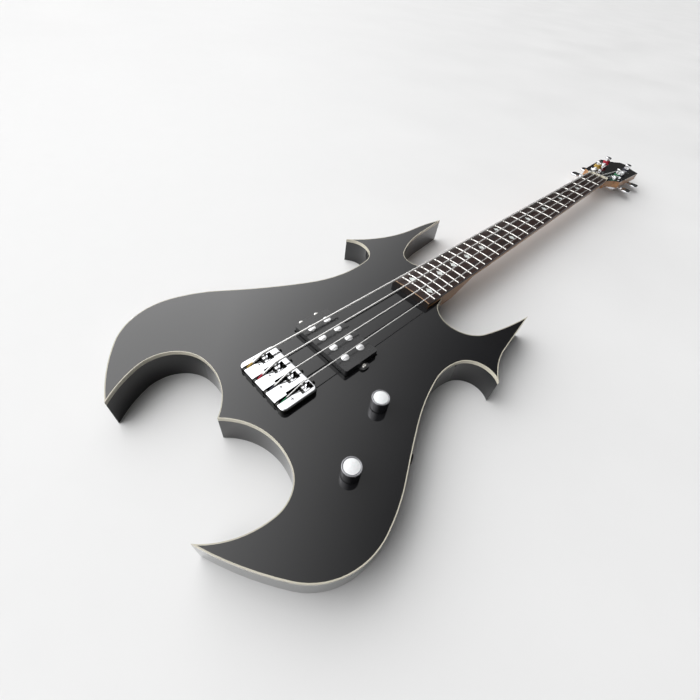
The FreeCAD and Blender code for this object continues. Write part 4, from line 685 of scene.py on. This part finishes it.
def per_string(stem):
    """The four names that start with a stem and end with a string's letter."""
    return [stem + name for name in STRINGS]


# Strings

def round_corner(before, corner, after, radius):
    """Arc of a radius that touches both sides of a corner.

    The touching points lie r tan(half the turn) from the corner, and the arc is c + r (cos a n + sin a t)
    from the first of them, with n towards it from the centre and t along the first side.
    """
    steps = 9
    back = before - corner
    back /= np.linalg.norm(back)
    ahead = after - corner
    ahead /= np.linalg.norm(ahead)
    turn = np.pi - np.arccos(np.clip(back @ ahead, -1.0, 1.0))
    start = corner + back * radius * np.tan(turn / 2)
    inward = back + ahead
    inward -= back * (inward @ back)
    inward /= np.linalg.norm(inward)
    centre = start + inward * radius
    angle = np.linspace(0.0, turn, steps)[:, None]
    return centre - radius * (np.cos(angle) * inward + np.sin(angle) * back)


def head_place(points):
    """Carries points from the headstock's frame to the guitar's: tilted about Y at the nut."""
    x, y, z = points[..., 0], points[..., 1], points[..., 2]
    return np.stack([HEAD_X + math.cos(HEAD_TILT) * x + math.sin(HEAD_TILT) * z, y,
                     HEAD_Z - math.sin(HEAD_TILT) * x + math.cos(HEAD_TILT) * z], axis=-1)


def head_local(point):
    """The reverse of head_place for one point."""
    x = point[0] - HEAD_X
    z = point[2] - HEAD_Z
    return np.array([math.cos(HEAD_TILT) * x - math.sin(HEAD_TILT) * z, point[1],
                     math.sin(HEAD_TILT) * x + math.cos(HEAD_TILT) * z])


def string_line(settings, step, x):
    """Point at x on the straight line from saddle to nut, both ends on the board's curve."""
    saddle_y = step * settings.saddle_spacing
    nut_y = step * settings.nut_spacing
    axis = BOARD_TOP - settings.board_radius
    saddle_z = axis + math.sqrt((settings.board_radius + settings.saddle_rise) ** 2 - saddle_y ** 2)
    nut_z = axis + math.sqrt((settings.board_radius + settings.nut_rise) ** 2 - nut_y ** 2)
    part = x / settings.scale
    return np.array([x, saddle_y + (nut_y - saddle_y) * part, saddle_z + (nut_z - saddle_z) * part])


def post_turns(settings, name, nut):
    """The turns up a post's waist, from where the straight run from the nut touches them.

    They are post + c (cos a, sin a) with the height level + pitch a / (2 pi), in the headstock's frame.
    """
    steps = 48
    diameter = GAUGES[name]
    side = 1.0 if name in BASS_SIDE else -1.0
    post_x = POST_NEAR if name in NEAR_NUT else POST_FAR
    post_y = side * POST_SIDE
    coil = settings.waist + diameter / 2
    level = settings.first_turn + diameter / 2
    pitch = diameter + settings.turn_gap
    start = head_local(nut)
    run = np.array([post_x - start[0], post_y - start[1]])
    heading = math.atan2(run[1], run[0]) - side * math.asin(coil / np.linalg.norm(run))
    angle = np.linspace(0.0, settings.turns * 2 * np.pi, int(settings.turns * steps))
    turn = heading - side * np.pi / 2 + side * angle
    return head_place(np.stack([post_x + coil * np.cos(turn), post_y + coil * np.sin(turn),
                                level + pitch * angle / (2 * np.pi)], axis=-1))


def string_path(settings, name):
    """Ball end, bend behind the saddle, bend over the nut, and the turns on the post.

    Between these it is straight, with points spread along the two runs outside the scale.
    """
    step = STEPS[name]
    ball = string_line(settings, step, -settings.ball_back)
    ball[2] = TOP + settings.ball_rise
    bend = string_line(settings, step, CRESTS[name] - settings.bend_back)
    nut = string_line(settings, step, settings.scale + settings.nut_middle)
    turns = post_turns(settings, name, nut)
    bent = round_corner(ball, bend, nut, settings.bend_radius)
    over_nut = round_corner(bend, nut, turns[0], settings.nut_bend)
    tail = ball + (bend - ball) * np.linspace(0.0, 0.85, 12)[:, None]
    tail = tail[np.linalg.norm(tail - ball, axis=1) < np.linalg.norm(bent[0] - ball) - MM]
    free = over_nut[-1] + (turns[0] - over_nut[-1]) * np.linspace(0.15, 0.95, 8)[:, None]
    return np.vstack([tail, bent, over_nut, free, turns])


class BASS_OT_strings(bpy.types.Operator):
    """Make the wound strings with their silk and ball ends"""

    bl_idname = "bass.strings"
    bl_label = "Strings"

    def execute(self, context):
        settings = context.scene.bass_strings
        finish = context.scene.bass_finish
        # Ball ends in dark steel, darkened as painted shade where they sit in the bridge's slots.
        dark = metal_material("Ball end steel", finish.dark_steel_and_shade, smooth=0.25, rough=0.45)
        for name in STRINGS:
            path = string_path(settings, name)
            self.make_wire(settings, finish, name, path)
            self.make_ball(settings, name, path[0], dark)
        return {"FINISHED"}

    def make_wire(self, settings, finish, name, path):
        """The wound wire, rounded off at its end on the post, with its silk marked on the points."""
        radius = GAUGES[name] / 2
        pitch = settings.wrap * GAUGES[name] / max(GAUGES.values())
        thread = getattr(settings, "silk_" + name)
        metal = string_material("Wound string " + name, finish.wire, thread, pitch)
        along = distances(path)
        left = along[-1] - along
        rounded = radius * np.sqrt(np.clip(left / radius, 0.05, 1.0))
        tube = swept(path, rounded, settings.sides)
        piece = add_piece("string_" + name + "_wound", [tube], metal, "frame",
                          ["string_" + name])
        silk = np.maximum(along < settings.silk_tail, left < settings.silk_head).astype(np.float32)
        marks = np.concatenate([np.repeat(silk, settings.sides), silk[[0, -1]]])
        piece.data.attributes.new("silk", "FLOAT", "POINT").data.foreach_set("value", marks)

    def make_ball(self, settings, name, centre, metal):
        """A short drum turned about Y, with a hollow in each side."""
        half = settings.ball_radius
        floor = half - settings.dimple_depth
        line = [(0.0, floor), (settings.dimple_floor, floor), (settings.dimple_rim, half), (half, half)]
        other = [(radius, -height) for radius, height in line]
        profile = eased(other + line[::-1], settings.ball_edge)
        add_piece("string_" + name + "_ball", [turned(profile, settings.ball_sides, centre, axis=1)], metal,
                  "frame")


# Turned hardware

class BASS_OT_knobs(bpy.types.Operator):
    """Make the two knobs and finish the controls under them"""

    bl_idname = "bass.knobs"
    bl_label = "Knobs"

    def execute(self, context):
        sizes = context.scene.bass_hardware
        finish = context.scene.bass_finish
        # Darkened chrome: painted dark reflection on the knobs' skirts.
        chrome = metal_material("Knob chrome", finish.knob, smooth=0.05, rough=0.10, variation=0.03,
                                scale=60.0)
        pearl = pearl_material("Knob cap", finish, finish.cap, depth=0.35)
        for name in ("volume", "tone"):
            self.make_knob(sizes, name, chrome, pearl)
        plated = metal_material("Pot plating", finish.pot, smooth=0.25, rough=0.45)
        dress(plated, "pot_cases", "volume_shaft", "tone_shaft")
        dress(worn_material("Dipped capacitor", finish.capacitor, smooth=0.2, rough=0.35), "tone_capacitor")
        dress(worn_material("Wire jacket", finish.jacket, smooth=0.4, rough=0.6), "wiring")
        return {"FINISHED"}

    def make_knob(self, sizes, name, chrome, pearl):
        """A hollow skirt bored for its shaft, and a domed cap let into its top."""
        low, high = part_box(name + "_knob")
        base = low.z
        top = high.z
        centre = ((low.x + high.x) / 2, (low.y + high.y) / 2, 0.0)
        shaft_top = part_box(name + "_shaft")[1].z
        ceiling = base + sizes.knob_ceiling
        lip = top - sizes.knob_lip
        seat = top - sizes.knob_seat
        rim = sizes.knob_radius
        dome = sizes.knob_dome
        gap = dome + sizes.knob_gap
        wall = eased([(0.0, shaft_top), (sizes.shaft_bore, shaft_top), (sizes.shaft_bore, ceiling),
                      (sizes.knob_bore, ceiling), (sizes.knob_bore, base), (rim, base), (rim, lip),
                      (gap, lip), (gap, seat), (0.0, seat)], sizes.edge)
        add_piece(name + "_knob_turned", [turned(wall, sizes.knob_sides, centre)], chrome,
                  name + "_control", [name + "_knob"])
        foot = seat - sizes.cap_sink
        crown = dome_line(dome, sizes.knob_rise, dome - sizes.edge, top, 14)
        side = eased([(0.0, foot), (dome, foot), (dome, top - sizes.knob_rise), tuple(crown[0])], sizes.edge)
        cap = turned(np.vstack([side, crown[1:]]), sizes.knob_sides, centre)
        add_piece(name + "_knob_cap", [cap], pearl, name + "_control")


class BASS_OT_pickup(bpy.types.Operator):
    """Make the domed pole pieces and the rubber tubes, and finish the pickup"""

    bl_idname = "bass.pickup"
    bl_label = "Pickup"

    def execute(self, context):
        sizes = context.scene.bass_hardware
        finish = context.scene.bass_finish
        self.make_poles(sizes, finish)
        black = worn_material("Pickup plastic", finish.plastic, smooth=0.20, rough=0.34, variation=0.25,
                              scale=60.0, relief=0.02 * MM, Coat_Weight=0.4, Coat_Roughness=0.2)
        dress(black, "pickup_cover")
        dress(worn_material("Winding tape", finish.tape, smooth=0.5, rough=0.7), "pickup_coils")
        self.make_tubes(sizes, finish)
        dress(metal_material("Pickup screw", finish.steel, smooth=0.15, rough=0.3), "pickup_screws")
        return {"FINISHED"}

    def make_poles(self, sizes, finish):
        """Two rows of four round poles, each with a domed top."""
        low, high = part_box("pickup_poles")
        radius = sizes.pole_radius
        shoulder = high.z - sizes.pole_shoulder
        crown = dome_line(radius, sizes.pole_dome, radius - sizes.edge, shoulder + sizes.pole_dome, 10)
        wall = eased([(0.0, low.z), (radius, low.z), (radius, shoulder), tuple(crown[0]), tuple(crown[1])],
                     sizes.edge)
        profile = np.vstack([wall[:-1], crown[1:]])
        rows = (low.x + radius, high.x - radius)
        across = np.linspace(low.y + radius, high.y - radius, len(STRINGS))
        shells = [turned(profile, sizes.pole_sides, (x, y, 0.0)) for x in rows for y in across]
        steel = metal_material("Pole steel", finish.pole, smooth=0.16, rough=0.30, variation=0.05,
                               scale=80.0)
        add_piece("pickup_poles_domed", shells, steel, "pickup", ["pickup_poles"])

    def make_tubes(self, sizes, finish):
        """Rubber tubes under the ears: they stand on the body."""
        low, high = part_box("pickup_tubes")
        radius = sizes.tube_radius
        bore = sizes.tube_bore
        middle = (low.z + high.z) / 2
        line = eased([(radius, middle), (radius, high.z), (bore, high.z), (bore, low.z), (radius, low.z),
                      (radius, middle)], sizes.edge)[:-1]
        spots = [(low.x + radius, high.y - radius), (high.x - radius, high.y - radius),
                 ((low.x + high.x) / 2, low.y + radius)]
        shells = [looped(line, sizes.tube_sides, (x, y, 0.0)) for x, y in spots]
        rubber = worn_material("Spring rubber", finish.rubber, smooth=0.6, rough=0.8)
        tubes = add_piece("pickup_tubes_soft", shells, rubber, None, ["pickup_tubes"])
        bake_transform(tubes)


class BASS_OT_bridge(bpy.types.Operator):
    """Finish the bridge, its saddles and their screws"""

    bl_idname = "bass.bridge"
    bl_label = "Bridge"

    def execute(self, context):
        finish = context.scene.bass_finish
        # Painted shade on the bridge's sides below its top, on each saddle's front and inner part, and on
        # each screw's socket and sides.
        below = {"Level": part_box("bridge_base")[1].z - finish.unshaded_top}
        dress(shaded_chrome("Bridge chrome", finish, below), "bridge_base")
        for saddle in per_string("saddle_"):
            low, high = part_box(saddle)
            front = {"Level": high.z, "Low X": high.x - finish.front_shade_length}
            inner = {"Level": high.z, "Low Y": low.y + finish.block}
            dress(shaded_chrome("Chrome of " + saddle, finish, front, inner), saddle)
        # The intonation screws take the dark steel tint: painted shade along the bridge's front edge.
        screw = metal_material("Screw steel", finish.dark_steel_and_shade, smooth=0.25, rough=0.45, variation=0.08,
                               scale=90.0)
        dress(screw, *per_string("intonation_screw_"))
        shaded_screws = {"Bridge screw": ["bridge_screws"], "Grub screw": per_string("saddle_height_screws_")}
        for name, nodes in shaded_screws.items():
            socket = {"Level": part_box(nodes[0])[1].z - finish.socket}
            dress(shaded_chrome(name, finish, socket), *nodes)
        return {"FINISHED"}


class BASS_OT_tuners(bpy.types.Operator):
    """Finish the tuners, the strap buttons, the jack and the fixing screws"""

    bl_idname = "bass.tuners"
    bl_label = "Tuners and fittings"

    def execute(self, context):
        finish = context.scene.bass_finish
        chrome = metal_material("Fitting chrome", finish.chrome, smooth=0.06, rough=0.14, variation=0.03,
                                scale=50.0)
        dress(chrome, "tuner_plates", "tuner_bushings", "strap_buttons", "neck_ferrules",
              *per_string("tuner_post_"), *per_string("tuner_key_"))
        # Dark metal on the jack, its plate and the sleeve nuts.
        black = metal_material("Dark jack metal", finish.dark_steel_and_shade, smooth=0.15, rough=0.3, variation=0.05,
                               scale=50.0)
        dress(black, "output_jack", "jack_plate", "sleeve_nuts")
        screw = metal_material("Fixing screw", finish.steel, smooth=0.2, rough=0.35, variation=0.08,
                               scale=90.0)
        dress(screw, "small_wood_screws", "strap_screws", "neck_screws")
        return {"FINISHED"}


# Wood and lacquer

class BASS_OT_neck(bpy.types.Operator):
    """Finish the neck, the fretboard and what is set in them"""

    bl_idname = "bass.neck"
    bl_label = "Neck and fretboard"

    def execute(self, context):
        finish = context.scene.bass_finish
        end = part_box("fretboard")[0].x
        # A painted highlight in a band along the fretboard's end edge, and painted shade on the end faces of
        # neck and fretboard.
        fade = finish.highlight_and_shade_fade
        grain = {"Level": ABOVE_ALL, "Fade": fade, "High X": end + 1.5 * fade}
        strip = {"Level": ABOVE_ALL, "Fade": fade, "Low X": end + fade, "High X": end + finish.highlight_reach}
        painted_end_shade = (finish.end_face_shade, grain)
        neck = {"Light": rgba(finish.neck_light), "Dark": rgba(finish.neck_dark), "Band": 150.0,
                "Pore": 1400.0, "Pore depth": 0.45}
        # The neck's end face takes the painted end shade.
        dress(timber_material("Neck wood", neck, [painted_end_shade], smooth=0.30, rough=0.45, relief=0.03 * MM),
              "neck")
        board = {"Light": rgba(finish.board_light), "Dark": rgba(finish.board_dark), "Band": 260.0,
                 "Pore": 1700.0, "Pore depth": 0.85}
        dress(timber_material("Fretboard wood", board, [(finish.end_edge_highlight, strip), painted_end_shade], smooth=0.36,
                              rough=0.55, relief=0.06 * MM), "fretboard")
        frets = metal_material("Fret wire", finish.steel, smooth=0.12, rough=0.24, variation=0.05,
                               scale=70.0)
        dress(frets, "frets")
        dress(pearl_material("Pearl inlay", finish, finish.pearl, depth=0.55), "fretboard_inlays")
        bone = worn_material("Nut bone", finish.bone, smooth=0.22, rough=0.4, variation=0.12, scale=120.0)
        dress(bone, "nut")
        dress(metal_material("Rod steel", finish.steel, smooth=0.3, rough=0.5, variation=0.15), "truss_rod")
        dress(metal_material("Rod nut brass", finish.brass, smooth=0.2, rough=0.35), "truss_rod_nut")
        return {"FINISHED"}


class BASS_OT_body(bpy.types.Operator):
    """Finish the lacquered body, the headstock's face, the binding and the covers"""

    bl_idname = "bass.body"
    bl_label = "Body"

    def execute(self, context):
        finish = context.scene.bass_finish
        gloss = finish.lacquer_roughness
        lacquer = worn_material("Black lacquer", finish.lacquer, smooth=0.7 * gloss, rough=1.3 * gloss,
                                variation=0.2, scale=7.0, relief=0.004 * MM, Coat_Weight=0.5,
                                Coat_Roughness=0.04)
        dress(lacquer, "body", "headstock_veneer")
        cream = worn_material("Cream binding", finish.binding, smooth=0.14, rough=0.26, variation=0.08,
                              scale=26.0)
        dress(cream, "body_binding")
        cover = worn_material("Cover plastic", finish.plastic, smooth=0.3, rough=0.45, variation=0.25,
                              scale=60.0, relief=0.02 * MM)
        dress(cover, "control_cover", "truss_rod_cover")
        return {"FINISHED"}


# Stage

class BASS_OT_stage(bpy.types.Operator):
    """Make the floor, the soft light and the camera"""

    bl_idname = "bass.stage"
    bl_label = "Stage"

    def execute(self, context):
        scene = context.scene
        settings = scene.bass_stage
        self.make_floor(settings)
        self.make_lamp(settings)
        scene.world = self.make_sky(settings)
        scene.camera = self.make_camera(settings)
        scene.view_settings.view_transform = "Standard"
        return {"FINISHED"}

    def make_floor(self, settings):
        """A level square under the part."""
        reach = settings.floor_reach
        level = -settings.floor_gap
        corners = [(-reach, -reach, level), (reach, -reach, level), (reach, reach, level),
                   (-reach, reach, level)]
        mesh = bpy.data.meshes.new("floor")
        mesh.from_pydata(corners, [], [(0, 1, 2, 3)])
        mesh.materials.append(worn_material("Floor", settings.floor, smooth=0.6, rough=0.8, variation=0.02,
                                            scale=3.0))
        floor = add_object("floor", mesh)

    def make_lamp(self, settings):
        """A square lamp that faces the body."""
        lamp = bpy.data.lights.new("soft_lamp", "AREA")
        lamp.shape = "SQUARE"
        lamp.size = settings.lamp_size
        lamp.energy = settings.lamp
        holder = add_object("soft_lamp", lamp)
        holder.location = settings.lamp_spot
        aim = Vector(settings.lamp_aim) - holder.location
        holder.rotation_euler = aim.to_track_quat("-Z", "Y").to_euler()

    def make_sky(self, settings):
        """A plain sky that brightens along one way."""
        world = bpy.data.worlds.new("soft_sky")
        world.use_nodes = True
        tree = world.node_tree
        sky = tree.nodes["Background"].inputs
        way = add_node(tree, "ShaderNodeTexCoord").outputs["Generated"]
        slope = add_node(tree, "ShaderNodeVectorMath", {0: way, 1: settings.sky_way},
                         operation="DOT_PRODUCT").outputs["Value"]
        rise = ranged(tree, slope, settings.sky_start, settings.sky_end, 0.0, 1.0)
        late = arithmetic(tree, "POWER", rise, settings.sky_curve)
        tree.links.new(ranged(tree, late, 0.0, 1.0, settings.dim, settings.bright), sky["Strength"])
        sky["Color"].default_value = (1.0, 1.0, 1.0, 1.0)
        return world

    def make_camera(self, settings):
        """The camera, placed and turned as the photo's was."""
        lens = bpy.data.cameras.new("camera")
        lens.lens = settings.lens
        lens.sensor_width = settings.sensor
        lens.clip_start = 0.01
        lens.clip_end = 200.0
        camera = add_object("camera", lens)
        camera.location = settings.camera
        camera.rotation_euler = Euler(settings.aim)
        return camera


class BASS_PT_panel(bpy.types.Panel):
    """The steps that dress the bass, in order"""

    bl_idname = "BASS_PT_panel"
    bl_label = "Electric bass guitar"
    bl_space_type = "VIEW_3D"
    bl_region_type = "UI"
    bl_category = "Bass"

    def draw(self, context):
        for operator in OPERATORS:
            self.layout.operator(operator.bl_idname)


OPERATORS = (BASS_OT_body, BASS_OT_neck, BASS_OT_bridge, BASS_OT_pickup, BASS_OT_knobs, BASS_OT_tuners,
             BASS_OT_strings, BASS_OT_stage)
GROUPS = {"bass_finish": BassFinishSettings, "bass_strings": BassStringSettings,
          "bass_hardware": BassHardwareSettings, "bass_stage": BassStageSettings}
CLASSES = (*GROUPS.values(), *OPERATORS, BASS_PT_panel)


def register():
    for kind in CLASSES:
        bpy.utils.register_class(kind)
    for name, kind in GROUPS.items():
        setattr(bpy.types.Scene, name, PointerProperty(type=kind))


def unregister():
    for name in GROUPS:
        delattr(bpy.types.Scene, name)
    for kind in reversed(CLASSES):
        bpy.utils.unregister_class(kind)


def main():
    register()
    for operator in OPERATORS:
        group, step = operator.bl_idname.split(".")
        getattr(getattr(bpy.ops, group), step)()


if __name__ == "__main__":
    main()
